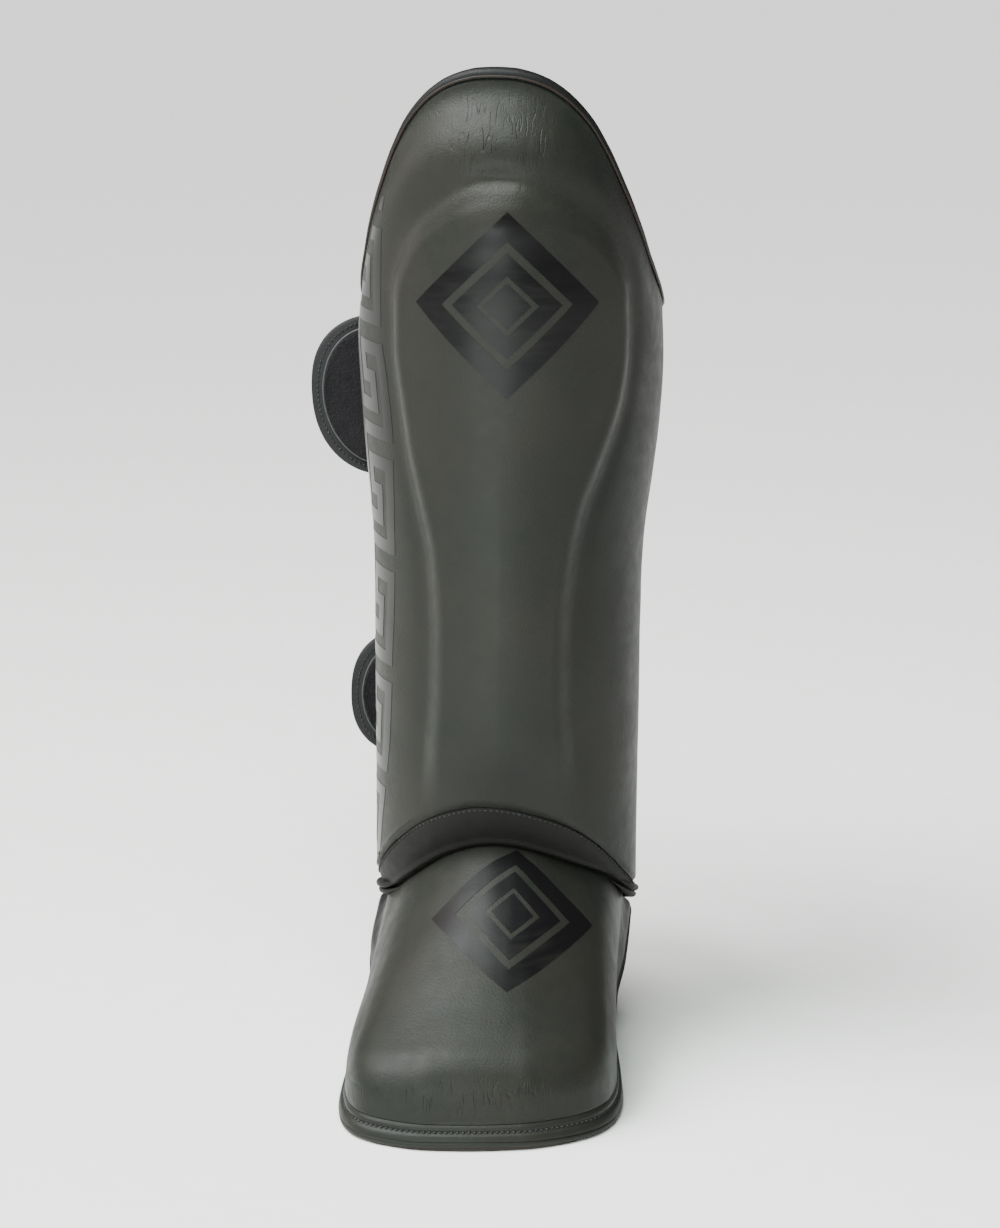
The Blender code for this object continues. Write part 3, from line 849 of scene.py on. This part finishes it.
def tube_rings(points, ups, radius, sides=8, flat=1.0):
    """Rings of a tube along points; ups are the directions in which it may be flattened."""
    along = unit(np.gradient(points, axis=0))
    sideways = unit(np.cross(along, ups))
    square_up = unit(np.cross(sideways, along))
    angles = np.linspace(0, 2 * math.pi, sides, endpoint=False)
    radius = np.broadcast_to(radius, (len(points),))[:, None, None]
    circle = (
        sideways[:, None, :] * np.cos(angles)[None, :, None]
        + square_up[:, None, :] * np.sin(angles)[None, :, None] * flat
    )
    return points[:, None, :] + circle * radius


def outward(points_at, first, second, step_first, step_second):
    """Directions square to a surface given by a function of two places."""
    across = points_at(first + step_first, second) - points_at(first - step_first, second)
    up = points_at(first, second + step_second) - points_at(first, second - step_second)
    return unit(np.cross(across, up))


def shin_point(turn, height):
    return leg(turn, height, shin_face(turn, height))


def add_crown_piping(skin):
    """The fine corded piping sewn between the crown's leather and its rolled binding."""
    turns = np.linspace(-WRAP + 3, WRAP - 3, 420)
    turn, height = below_edge(turns, 0.3 * MM)
    turn = np.clip(turn, -WRAP + 2, WRAP - 2)
    points = leg(turn, height, pad_thickness(turn, height) + 0.25 * MM)
    ups = outward(shin_point, turn, height, 0.3, 0.3 * MM)
    loft("crown_piping", tube_rings(points, ups, 0.65 * MM), [skin], sharp=80)


def add_stitches(name, points, ups, thread, pitch, length, radius):
    """A row of stitches along a line, each an arched length of thread sunk into the leather."""
    sink = 0.3
    lengths = lengths_along(points)
    starts = np.arange(pitch / 2, lengths[-1] - length, pitch)
    profile = np.array([(0.0, 0.25), (0.12, 0.8), (0.5, 1.0), (0.88, 0.8), (1.0, 0.25)])
    sides = 6
    all_points = []
    faces = []
    for number, start in enumerate(starts):
        stops = start + profile[:, 0] * length
        line = np.stack([np.interp(stops, lengths, points[:, axis]) for axis in range(3)], axis=1)
        up = np.stack([np.interp(stops, lengths, ups[:, axis]) for axis in range(3)], axis=1)
        line = line + unit(up) * radius * (arch(profile[:, :1]) * 0.7 - sink)
        rings = tube_rings(line, up, radius * profile[:, 1], sides)
        all_points.append(rings.reshape(-1, 3))
        faces += ring_faces(len(profile), sides, number * len(profile) * sides)
    make_piece(name, np.concatenate(all_points), faces, [thread], sharp=80)


def gusset_foot(turn):
    """Distance from the leg to the gusset's lower edge."""
    lean = GUSSET_LEAN * gusset_height(turn) / GUSSET_HEIGHT
    return pad_thickness(turn, seam_height(turn)) - lean


def gusset_face(turn, share):
    """Outer face of the gusset from its seam at share 0 to its foot at share 1."""
    top = seam_height(turn) - GAP
    tall = gusset_height(turn)
    full = pad_thickness(turn, seam_height(turn)) - 0.9 * MM
    hem = 1.0 * MM * smooth((share - 0.75) / 0.2) - 1.6 * MM * smooth((share - 0.93) / 0.07)
    out = full + (gusset_foot(turn) + 0.6 * MM - full) * share + hem
    puff = arch(share) * 1.3 * MM * tall / GUSSET_HEIGHT
    x = turn * arc_scale(top)
    waves = 0.16 * MM * uneven(x, share * 12 * MM, 6 * MM, 71) * arch(share)
    roll = 0.7 * MM * (1 - np.sqrt(1 - np.clip(1 - share * tall / (1.6 * MM), 0, 1) ** 2))
    return leg(turn, top - tall * share, out + puff + waves - roll)


def add_gusset(skin):
    """The crescent under the stitched seam."""
    turns = np.linspace(-WRAP, WRAP, 300)[:, None]
    shares = np.linspace(0, 1, 30)[None, :]
    outer = gusset_face(turns, shares)
    inner = leg(turns, seam_height(turns) - gusset_height(turns) * np.linspace(1, 0.02, 6)[None, :])
    rings = np.concatenate((outer, inner), axis=1)
    loft("gusset_leather", rings, [skin], ["ankle_gusset"])


def add_seam_stitches(thread):
    """The lockstitch right under the shin's seam, pulled into the gusset."""
    turns = np.linspace(-100, 100, 1200)
    below = 1.15 * MM / gusset_height(turns)
    line = gusset_face(turns, below)
    ups = -outward(gusset_face, turns, below, 0.4, 0.03)
    add_stitches("seam_stitches", line, ups, thread, 2.6 * MM, 1.3 * MM, 0.5 * MM)


def add_corner_folds(side, skin):
    """The gusset's end, gathered into two tacked folds at the rear corner of the seam."""
    turns = side * np.linspace(54, 112, 90)
    full = smooth((np.abs(turns) - 54) / 16) * smooth((114 - np.abs(turns)) / 10)
    outer = 2.6 if side < 0 else 1.3
    for number, (lift, out, radius) in enumerate(((1.0, outer, 2.6), (-2.4, outer - 0.9, 2.3))):
        height = gusset_bottom(turns) + lift * MM
        points = leg(turns, height, gusset_foot(turns) + out * MM * full)
        ups = np.tile(np.array([0.0, 0.0, 1.0]), (len(turns), 1))
        rings = tube_rings(points, ups, radius * MM * (0.15 + 0.85 * full), 14, 0.7)
        where = "left" if side < 0 else "right"
        loft(f"{where}_corner_fold_{number + 1}", rings, [skin], sharp=80)


def rim(turn):
    """The outer lower edge of the rim."""
    both_sides = [(-row[0], -row[1]) for row in RIM[:0:-1]] + [row[:2] for row in RIM]
    across = curve(both_sides, 1, turn) * TOE_WIDTH / 2
    shift = INSTEP_SHIFT * (0.5 + 0.5 * smooth((np.abs(turn) - 45) / 30))
    forward = -curve(RIM, 2, np.abs(turn)) * TOE_REACH
    skew = math.tan(math.radians(TOE_SKEW)) * smooth(curve(RIM, 2, np.abs(turn)) / 0.7)
    rise = curve(RIM, 3, np.abs(turn)) * RIM_RISE
    return stack(across - shift, forward + skew * across, rise)


def rim_point(turn, inward, up):
    """Points inward of the rim's edge, in plan, and above it."""
    step = 1.0
    along = rim(np.minimum(turn + step, WRAP)) - rim(np.maximum(turn - step, -WRAP))
    inside = unit(stack(-along[..., 1], along[..., 0], 0 * along[..., 0]))
    lift = stack(0 * turn, 0 * turn, up + 0 * turn)
    return rim(turn) + inside * np.broadcast_to(inward, turn.shape)[..., None] + lift


def rim_height(turn):
    return RIM_HEIGHT * curve(RIM, 4, np.abs(turn))


def rim_flare(turn):
    return RIM_FLARE * curve(RIM, 5, np.abs(turn))


def instep_table():
    last = len(INSTEP) - 1
    return [(at / last,) + row for at, row in enumerate(INSTEP)]


def instep_plain(turn, place):
    """The instep's outer face without its creases, from the ankle at place 0 to the rim at 1."""
    table = instep_table()
    start = leg(turn, gusset_bottom(turn) + TUCK_RISE, gusset_foot(turn) - 2 * INSTEP_TUCK)
    end = rim_point(turn, rim_flare(turn), rim_height(turn) + GAP)
    reach = curve(table, 1, place)
    drop = curve(table, 2, place)
    return start + (end - start) * stack(reach, reach, drop)


def instep_depth(turn, place):
    thick = np.maximum(curve(instep_table(), 3, place) * INSTEP_PAD, RIM_WALL)
    side = smooth((np.abs(turn) - 40) / 50)
    return thick + (RIM_WALL - thick) * side


def instep_relief(turn, place, points):
    """Creases and waves of the instep's leather."""
    x = points[..., 0]
    y = points[..., 1]
    z = points[..., 2]
    toe = hump((place - 0.93) / 0.05) * hump(turn / 42)
    upright = creases(x, z * 0.35, 3.2 * MM, 81) + 0.5 * creases(x, z * 0.6, 1.9 * MM, 91)
    left = hump((turn + 52) / 12) * hump((place - 0.9) / 0.08)
    slant = creases(x * 0.7 + z, y * 0.5, 3.0 * MM, 101)
    broad = 0.5 * uneven(x, y, 30 * MM, 111) + 0.15 * uneven(x, y, 11 * MM, 121)
    ends = smooth(place / 0.06) * smooth((1 - place) / 0.03)
    return MM * ends * (0.16 * toe * upright + 0.25 * left * slant + broad)


def instep_face(turn, place):
    turn, place = np.broadcast_arrays(turn, place)
    plain = instep_plain(turn, place)
    low = np.maximum(turn - 1, -WRAP)
    high = np.minimum(turn + 1, WRAP)
    across = instep_plain(high, place) - instep_plain(low, place)
    down = instep_plain(turn, np.minimum(place + 0.02, 1)) - instep_plain(turn, np.maximum(place - 0.02, 0))
    out = unit(np.cross(down, across))
    relief = instep_relief(turn, place, plain)
    return plain + out * relief[..., None], out


def add_instep(skin, lining, folded):
    """The padded dome over the foot."""
    turns = np.linspace(-WRAP, WRAP, 280)[:, None]
    places = 1 - (1 - np.linspace(0, 1, 170)[None, :]) ** 1.25
    outer, _ = instep_face(turns, places)
    inner_places = np.linspace(0.985, 0.03, 26)[None, :]
    turns_in, places_in = np.broadcast_arrays(turns, inner_places)
    back, out = instep_face(turns_in, places_in)
    inward = -out
    inward[..., 2] = np.minimum(inward[..., 2], 0)
    inward = unit(inward)
    inner = back + inward * instep_depth(turns_in, places_in)[..., None]
    rim_top = instep_plain(turns, np.ones_like(turns))[..., 2]
    inner[..., 2] = np.maximum(inner[..., 2], (back[..., 2] + rim_top) / 2)
    foot_in = rim_point(turns, rim_flare(turns) + RIM_WALL, rim_height(turns) + GAP)
    ankle_in = leg(turns, gusset_bottom(turns) + TUCK_RISE)
    rings = np.concatenate((outer, foot_in, inner, ankle_in), axis=1)
    piece = loft("instep_leather", rings, [skin, lining, folded], ["instep_pad"])
    outside = outer.shape[1]
    toe = np.minimum(1.3 * hump(turns / 32) * hump((places - 0.88) / 0.06), 1)
    left = 0.9 * hump((turns + 50) / 9) * hump((places - 0.93) / 0.05)
    mark(piece, "crinkle", rings, slice(0, outside), np.maximum(toe, left))
    dress(piece, rings, turns, outside, INSTEP_REAR, 2)


def rim_arch(turn):
    """The rim's lower edge bows up off the floor a little at the toe."""
    return 1.3 * MM * hump(turn / 24)


def rim_flange(turn, share):
    """The rim's outer face from its lower roll at share 0 to the pad's seam at share 1."""
    flare = rim_flare(turn)
    low = RIM_ROLL + rim_arch(turn)
    puff = arch(share / RIM_STITCH) * 0.5 * MM
    groove = 0.6 * MM * hump((share - RIM_STITCH) / 0.08)
    lip = 0.25 * MM * hump((share - 0.86) / 0.1)
    inward = 0.3 * MM + (flare - 0.3 * MM) * share**1.4 - puff + groove - lip
    return rim_point(turn, inward, low + (rim_height(turn) - low) * share)


def add_rim(skin, folded, inside, thread):
    """The flared rim, rolled along its lower edge, with its row of stitches, and a dark strip of painted
    shade in the gap under its toe.
    """
    turns = np.linspace(-WRAP, WRAP, 320)[:, None]
    rolls = np.radians(np.linspace(-80, 60, 9))[None, :]
    up = rim_arch(turns) + RIM_ROLL * (1 + np.sin(rolls))
    roll = rim_point(turns + 0 * rolls, RIM_ROLL * (1 - np.cos(rolls)), up)
    face = rim_flange(turns + np.zeros((1, 26)), np.linspace(0.18, 1, 26)[None, :])
    flare = rim_flare(turns)
    height = rim_height(turns)
    inner = ((1.0, height), (0.85, 0.5 * height), (0.7, rim_arch(turns)))
    inner = [rim_point(turns, flare + share * RIM_WALL, level) for share, level in inner]
    rings = np.concatenate((roll, face, *inner), axis=1)
    piece = loft("instep_rim", rings, [skin, folded], ["instep_binding"])
    dress(piece, rings, turns, rings.shape[1], RIM_REAR, 1)
    stitch_turns = np.linspace(-WRAP + 1, WRAP - 1, 900)
    share = np.full_like(stitch_turns, RIM_STITCH)
    line = rim_flange(stitch_turns, share)
    ups = outward(rim_flange, stitch_turns, share, 0.5, 0.02)
    add_stitches("rim_stitches", line, ups, thread, 2.5 * MM, 1.6 * MM, 0.6 * MM)
    # A dark reddish strip of the piping's leather fills the gap between the toe's lifted rim and the floor:
    # painted shade for the shadowed gap
    turns = np.linspace(-42, 42, 120)[:, None]
    back = 1.0 * MM + 2.0 * MM * smooth((np.abs(turns) - 30) / 12)
    low = 0.15 * MM
    high = 1.8 * MM + rim_arch(turns)
    strip = ((0, low), (-0.4 * MM, 0.9 * MM), (0, high), (3 * MM, high), (3 * MM, low))
    strip = [rim_point(turns, back + inward, level) for inward, level in strip]
    loft("rim_gap_painted_shade", np.concatenate(strip, axis=1), [inside])


def strap_route(level, strap):
    """Plan points of a strap at a level, from the right wing round the calf to the left end."""
    _, _, reach, seat = strap
    _, depth, front = leg_size(np.float64(level))
    corner = leg(np.float64(WRAP), np.float64(level), WING_PAD)
    back = front + 2 * depth + CALF_ROOM
    right = corner[1] + STRAP_THICK / 2 + seat
    left = corner[1] + STRAP_THICK / 2 + PILE_THICK + STRAP_CLEAR
    room = back - right
    side = corner[0]
    return np.array([
        (side, right),
        (0.97 * side, right + 0.30 * room),
        (0.80 * side, right + 0.68 * room),
        (0.45 * side, right + 0.93 * room),
        (0.0, back),
        (-0.45 * side, right + 0.93 * room),
        (-0.80 * side, left + 0.55 * room),
        (-1.02 * side, left + 0.14 * room),
        (-side - 0.35 * reach, left + 0.02 * room),
        (-side - reach, left - 0.02 * room),
    ])


def along_route(points, share):
    """Plan points and directions on a smooth curve through a route."""
    last = len(points) - 1
    place = np.asarray(share) * last
    at = np.minimum(place.astype(int), last - 1)
    part = (place - at)[:, None]
    start = points[at]
    end = points[at + 1]
    leave = (end - points[np.maximum(at - 1, 0)]) / 2
    arrive = (points[np.minimum(at + 2, last)] - start) / 2
    rest = 1 - part
    heading = (
        (end - start) * 6 * part * rest
        + leave * rest * (1 - 3 * part)
        + arrive * part * (3 * part - 2)
    )
    return path_between(start, end, leave, arrive, part), unit(heading)


def strap_stops(strap, border=0.0):
    """Shares of the route with a section, and half the width at each, rounded at the free end."""
    height, width, _, _ = strap
    route = strap_route(height, strap)
    shares = np.linspace(0, 1, 1200)
    fine, _ = along_route(route, shares)
    lengths = lengths_along(fine)
    end_round = END_ROUND * width
    straight = lengths[-1] - end_round
    stops = list(np.linspace(0, straight, STRAP_SECTIONS))
    halves = [width / 2] * STRAP_SECTIONS
    for angle in np.radians(np.linspace(3, 88, 26)):
        stops.append(straight + end_round * math.sin(angle))
        halves.append(width / 2 * math.cos(angle) ** 0.8)
    stops = np.array(stops)
    halves = np.array(halves) - border
    keep = halves > 0.8 * MM
    stops = np.where(stops > straight, straight + (stops - straight) * (1 - border / end_round), stops)
    return np.interp(stops[keep], lengths, shares), halves[keep]


def strap_sheet(strap, shares, halves, rows, proud):
    """A grid of points on a strap: rows across it, at a distance in front of its middle."""
    height = strap[0]
    levels = 9
    grid = np.array([
        [
            np.concatenate(along_route(strap_route(height + level * half, strap), np.array([share])))
            for level in np.linspace(-1, 1, levels)
        ]
        for share, half in zip(shares, halves)
    ])
    place = grid[..., 0, :]
    forward = stack(-grid[..., 1, 1], grid[..., 1, 0])
    at = (rows + 1) / 2 * (levels - 1)
    low = np.clip(at.astype(int), 0, levels - 2)
    part = (at - low)[None, :, None]
    plan = place[:, low] * (1 - part) + place[:, low + 1] * part
    ahead = forward[:, low] * (1 - part) + forward[:, low + 1] * part
    plan = plan + ahead * np.broadcast_to(proud, plan.shape[:2])[..., None]
    up = height + halves[:, None] * rows[None, :]
    return stack(plan[..., 0], plan[..., 1], up), stack(ahead[..., 0], ahead[..., 1], 0 * up)


def add_strap(name, strap, skin, pile, edge, thread):
    """A calf strap with its stitched border, and the loop pile inside its free end."""
    shares, halves = strap_stops(strap)
    rows = np.sin(np.linspace(-1, 1, 21) * math.pi / 2)
    thick = STRAP_THICK / 2 * np.sqrt(np.maximum(1 - np.abs(rows) ** 14, 0.04))
    front, _ = strap_sheet(strap, shares, halves, rows, thick)
    back, _ = strap_sheet(strap, shares, halves, rows, -thick)
    loft(name + "_strap_leather", sheet(front, back), [skin], [name + "_strap"])

    shares, halves = strap_stops(strap, PILE_BORDER)
    shares, halves = shares[PILE_FIRST:], halves[PILE_FIRST:]
    lift = STRAP_THICK / 2 + PILE_GAP
    rows = np.sin(np.linspace(-1, 1, 25) * math.pi / 2)
    dome = PILE_THICK * (0.75 + 0.25 * np.sqrt(np.maximum(1 - np.abs(rows) ** 10, 0.0)))
    front, ups = strap_sheet(strap, shares, halves, rows, lift + dome)
    back, _ = strap_sheet(strap, shares, halves, rows, lift)
    loft(name + "_loop_pile", sheet(front, back), [pile], [name + "_strap_pile"])
    add_fuzz(name, front, ups, pile)

    # The tape's cut edge shows as a thin grey line round the pile
    line, ups = strap_outline(strap, PILE_BORDER - 0.4 * MM, lift + 0.6 * MM, PILE_FIRST)
    loft(name + "_tape_edge", tube_rings(line, ups, 0.55 * MM), [edge], sharp=80)
    line, ups = strap_outline(strap, 0.5 * PILE_BORDER, STRAP_THICK / 2, STITCH_FIRST)
    add_stitches(name + "_strap_stitches", line, ups, thread, 2.4 * MM, 1.6 * MM, 0.42 * MM)


def add_fuzz(name, face, ups, pile):
    """Loose loops that stand out of the pile, as short bent fibres."""
    random = np.random.default_rng(5)
    count = 2600
    rows, columns = face.shape[:2]
    at = random.uniform(1, rows - 3, count)
    side = random.uniform(1, columns - 3, count)
    low = at.astype(int)
    left = side.astype(int)
    part = (at - low)[:, None]
    across = (side - left)[:, None]
    root = (
        face[low, left] * (1 - part) * (1 - across)
        + face[low + 1, left] * part * (1 - across)
        + face[low, left + 1] * (1 - part) * across
        + face[low + 1, left + 1] * part * across
    )
    up = ups[low, left]
    lean = random.normal(0, 0.7, (count, 3))
    points = []
    faces = []
    for number in range(count):
        tall = random.uniform(0.5, 1.1) * MM
        tip = unit(up[number] + lean[number])
        bend = unit(np.cross(tip, up[number]) + 0.2)
        line = np.array([
            root[number] - up[number] * 0.2 * MM,
            root[number] + tip * 0.5 * tall,
            root[number] + tip * 0.8 * tall + bend * 0.35 * tall,
        ])
        rings = tube_rings(line, np.tile(bend, (3, 1)), np.array([0.09, 0.08, 0.05]) * MM, 3)
        points.append(rings.reshape(-1, 3))
        faces += ring_faces(3, 3, number * 9)
    make_piece(name + "_pile_fibres", np.concatenate(points), faces, [pile], sharp=80)


def strap_outline(strap, border, proud, first):
    """A line round the free end of a strap at a distance inside its edge."""
    shares, halves = strap_stops(strap, border)
    both = strap_sheet(strap, shares[first:], halves[first:], np.array([-1.0, 1.0]), proud)
    return [np.concatenate((grid[:, 0], grid[::-1, 1])) for grid in both]


def add_sole_elastic(webbing):
    """The plain elastic under the foot."""
    turns = np.linspace(60, WRAP, 400)
    depths = np.linspace(-SOLE_STRAP_WIDTH / 2, SOLE_STRAP_WIDTH / 2, 22)
    bends = np.radians(np.linspace(0, 90, 14))
    flat = SOLE_FLAT / 2
    paths = []
    for depth in depths:
        halves = []
        for side in (-1, 1):
            ends = rim(side * turns)
            at = np.array([np.interp(depth, ends[:, 1], turns)])
            end = rim_point(side * at, rim_flare(at) + 0.35 * RIM_WALL, -GAP)[0]
            reach = abs(end[0]) - flat
            x = side * (flat + reach * np.cos(bends) * 0.9)
            z = end[2] * 0.72 * (1 - np.sin(bends))
            corner = np.concatenate(([end], stack(x, depth, z)))
            halves.append(corner)
        paths.append(np.concatenate((halves[0], halves[1][::-1])))
    outer = np.stack(paths, axis=1)
    heading = unit(np.gradient(outer[:, 0], axis=0))
    up = stack(-heading[:, 2], 0 * heading[:, 0], heading[:, 0])
    inner = outer + up[:, None] * SOLE_STRAP_THICK
    loft("sole_elastic", sheet(outer, inner), [webbing], ["sole_strap"])


def ribbon_rings(corners, width, looped=False, step=1.1, across=6):
    """Plan rings of a mitred ribbon along corner points: place and share of its width."""
    corners = np.asarray(corners, float)
    count = len(corners)
    before = corners - np.roll(corners, 1, axis=0)
    after = np.roll(corners, -1, axis=0) - corners
    if not looped:
        before[0] = after[0]
        after[-1] = before[-1]
    before = unit(before)
    after = unit(after)
    left_before = stack(-before[:, 1], before[:, 0])
    left_after = stack(-after[:, 1], after[:, 0])
    mitre = unit(left_before + left_after)
    mitre = mitre / np.sum(mitre * left_before, axis=1, keepdims=True) * width / 2
    stations = []
    spans = count if looped else count - 1
    for at in range(spans):
        end = (at + 1) % count
        parts = max(1, int(np.linalg.norm(corners[end] - corners[at]) / step))
        share = (np.arange(parts) / parts)[:, None, None]
        side = np.linspace(-1, 1, across + 1)[None, :, None]
        here = corners[at] + side * mitre[at]
        there = corners[end] + side * mitre[end]
        stations.append(here * (1 - share) + there * share)
    if not looped:
        side = np.linspace(-1, 1, across + 1)[None, :, None]
        stations.append(corners[-1] + side * mitre[-1])
    return np.concatenate(stations)


def film(name, plans, surface, ink, looped):
    """Printed shapes as one thin closed film that follows a surface."""
    points = []
    faces = []
    first = 0
    for plan in plans:
        top, out = surface(plan[..., 0], plan[..., 1])
        rings = sheet(top + out * 0.15 * MM, top + out * 0.03 * MM)
        points.append(rings.reshape(-1, 3))
        faces += ring_faces(rings.shape[0], rings.shape[1], first, looped)
        first += rings.shape[0] * rings.shape[1]
    make_piece(name, np.concatenate(points), faces, [ink], sharp=60)


def wing_place(across, down):
    """Turn and height of a place on the left wing, in millimetres from the band's top front.

    The way there is measured over the front up to a first turn, and over the wing from there.
    """
    first = 20.0
    height = BAND_TOP - down * MM
    turn = np.full(np.shape(height), -first)
    wanted = (curve(BAND_FRONT, 1, height) + across) * MM
    length = first * arc_scale(height)
    for _ in range(12):
        scale = wing_scale((turn - first) / 2, height)
        turn = -first - (wanted - length) / scale
    return turn, height


def shin_surface(turn, height):
    return shin_point(turn, height), outward(shin_point, turn, height, 0.3, 0.3 * MM)


def wing_surface(across, down):
    return shin_surface(*wing_place(across, down))


def add_meander(ink):
    """The traditional key band printed down the outer wing, cut off by the crown and the seam."""
    corners = []
    for number in range(6):
        for across, down in MEANDER:
            corners.append((across * BAND_WIDTH, down * UNIT_HEIGHT + number * UNIT_PITCH))
    top = UNIT_HEIGHT * MEANDER[5][1]
    run = [(0.40 * BAND_WIDTH, top)] + corners[5:46]
    run.append((corners[45][0], corners[45][1] + 0.74 * UNIT_HEIGHT))
    hook = [(corners[3][0], corners[3][1] - 0.14 * UNIT_HEIGHT), corners[3], corners[2], corners[1]]
    hook.append((0.8 * BAND_WIDTH, corners[1][1]))
    bar = [(0.02 * BAND_WIDTH, top - UNIT_PITCH + 0.8575 * UNIT_HEIGHT)]
    bar.append((0.2 * BAND_WIDTH, bar[0][1]))
    plans = [ribbon_rings(part, STROKE) for part in (run, hook, bar)]
    film("key_band_print", plans, wing_surface, ink, False)


def knob_surface(x, y):
    height = MOTIF_HEIGHT + y * MM
    return shin_surface(MOTIF_TURN + x * MM / arc_scale(height), height)


def instep_surface(x, y):
    return instep_face(9.0 + x * 0.86, 0.26 - y * 0.0048)


def add_motif(name, surface, ink):
    """Nested lozenges: half width, half height and stroke of each in millimetres."""
    plans = []
    for wide, high, stroke in ((34, 35, 9.0), (18, 18.5, 7.0), (5, 5.2, 7.1)):
        lozenge = [(wide, 0), (0, high), (-wide, 0), (0, -high)]
        plans.append(ribbon_rings(lozenge, stroke, True))
    film(name, plans, surface, ink, True)


def add_camera():
    """The photograph's view: 5 degrees to the right of the front and 15 above level."""
    azimuth = math.radians(5)
    elevation = math.radians(15)
    target = Vector((0, -0.030, 0.214))
    away = Vector((
        math.sin(azimuth) * math.cos(elevation),
        -math.cos(azimuth) * math.cos(elevation),
        math.sin(elevation),
    ))
    data = bpy.data.cameras.new("photo_view")
    data.lens = 89.2
    data.clip_start = 0.05
    data.clip_end = 60
    bpy.context.scene.camera = put("photo_view", data, target + away * 1.4, -away)


def add_softbox(name, place, aim, size, power, tint):
    data = bpy.data.lights.new(name, "AREA")
    data.shape = "RECTANGLE"
    data.size, data.size_y = size
    data.energy = power
    data.color = colour(tint)[:3]
    put(name, data, place, Vector(aim) - Vector(place))


def add_studio(paper):
    """A pale floor, a soft sun for even light and softboxes above and to the left."""
    mesh = bpy.data.meshes.new("floor")
    reach = 30.0
    corners = [(-reach, -reach, 0), (reach, -reach, 0), (reach, reach, 0), (-reach, reach, 0)]
    mesh.from_pydata(corners, [], [(0, 1, 2, 3)])
    mesh.materials.append(paper)
    floor = put("floor", mesh, (0, 0, -0.2 * MM))
    world = bpy.data.worlds.new("studio")
    world.use_nodes = True
    wire(world.node_tree, world.node_tree.nodes["Background"], {"Color": colour("FFFFFF"), "Strength": 0.16})
    bpy.context.scene.world = world
    sun = bpy.data.lights.new("soft_sun", "SUN")
    sun.energy = 6.0
    sun.angle = math.radians(45)
    put("soft_sun", sun, toward=(0.8, 0.28, -1.0))
    add_softbox("top_softbox", (-0.22, -0.55, 1.5), (0, 0, 0.25), (1.2, 0.7), 43, "E9F4EC")
    add_softbox("left_softbox", (-1.2, 0.3, 0.85), (0, 0, 0.25), (0.6, 0.9), 5.5, "FFF4E4")
    add_softbox("low_softbox", (-0.15, -0.95, 0.24), (0, -0.14, 0.04), (0.6, 0.3), 5.5, "E9F4EC")


def main():
    add_camera()
    # The shells have the widest grain and the most shine, the folded edges are nearly black, the
    # gusset is matt, the straps are smooth and even, and the cord of the piping is browner.
    skin = leather("grained_cowhide", "191C19", "21201D", "40413D", 1.1, 0.46, 0.45)
    folded = leather("binding_cowhide", "0C0C0D", "131314", "2A2A29", 0.9, 0.52, 0.55)
    soft = leather("gusset_cowhide", "101010", "161513", "262523", 0.8, 0.60, 0.5)
    webbed = leather("strap_cowhide", "19191A", "202022", "363637", 0.9, 0.5, 0.55)
    corded = leather("piping_cowhide", "211A18", "2C2421", "423833", 0.7, 0.44, 0.3)
    lining = tricot_lining()
    ink = printed_ink("screen_printed_ink", "0D0C0E", "1A1A18", 0.32, 0.15)
    gloss = printed_ink("glossy_band_ink", "171716", "20201F", 0.28, 0.23)
    thread = bonded_thread()
    pile = loop_pile()
    edge = cut_edge()
    webbing = woven_elastic()
    add_studio(paper_floor())
    add_shin_leather(skin, lining)
    add_crown_binding(folded)
    add_crown_piping(corded)
    add_gusset(soft)
    add_seam_stitches(thread)
    for side in (-1, 1):
        add_corner_folds(side, soft)
    add_instep(skin, lining, folded)
    add_rim(skin, folded, corded, thread)
    for name, strap in STRAPS.items():
        add_strap(name, strap, webbed, pile, edge, thread)
    add_sole_elastic(webbing)
    add_meander(gloss)
    add_motif("knob_motif", knob_surface, ink)
    add_motif("instep_motif", instep_surface, ink)


main()
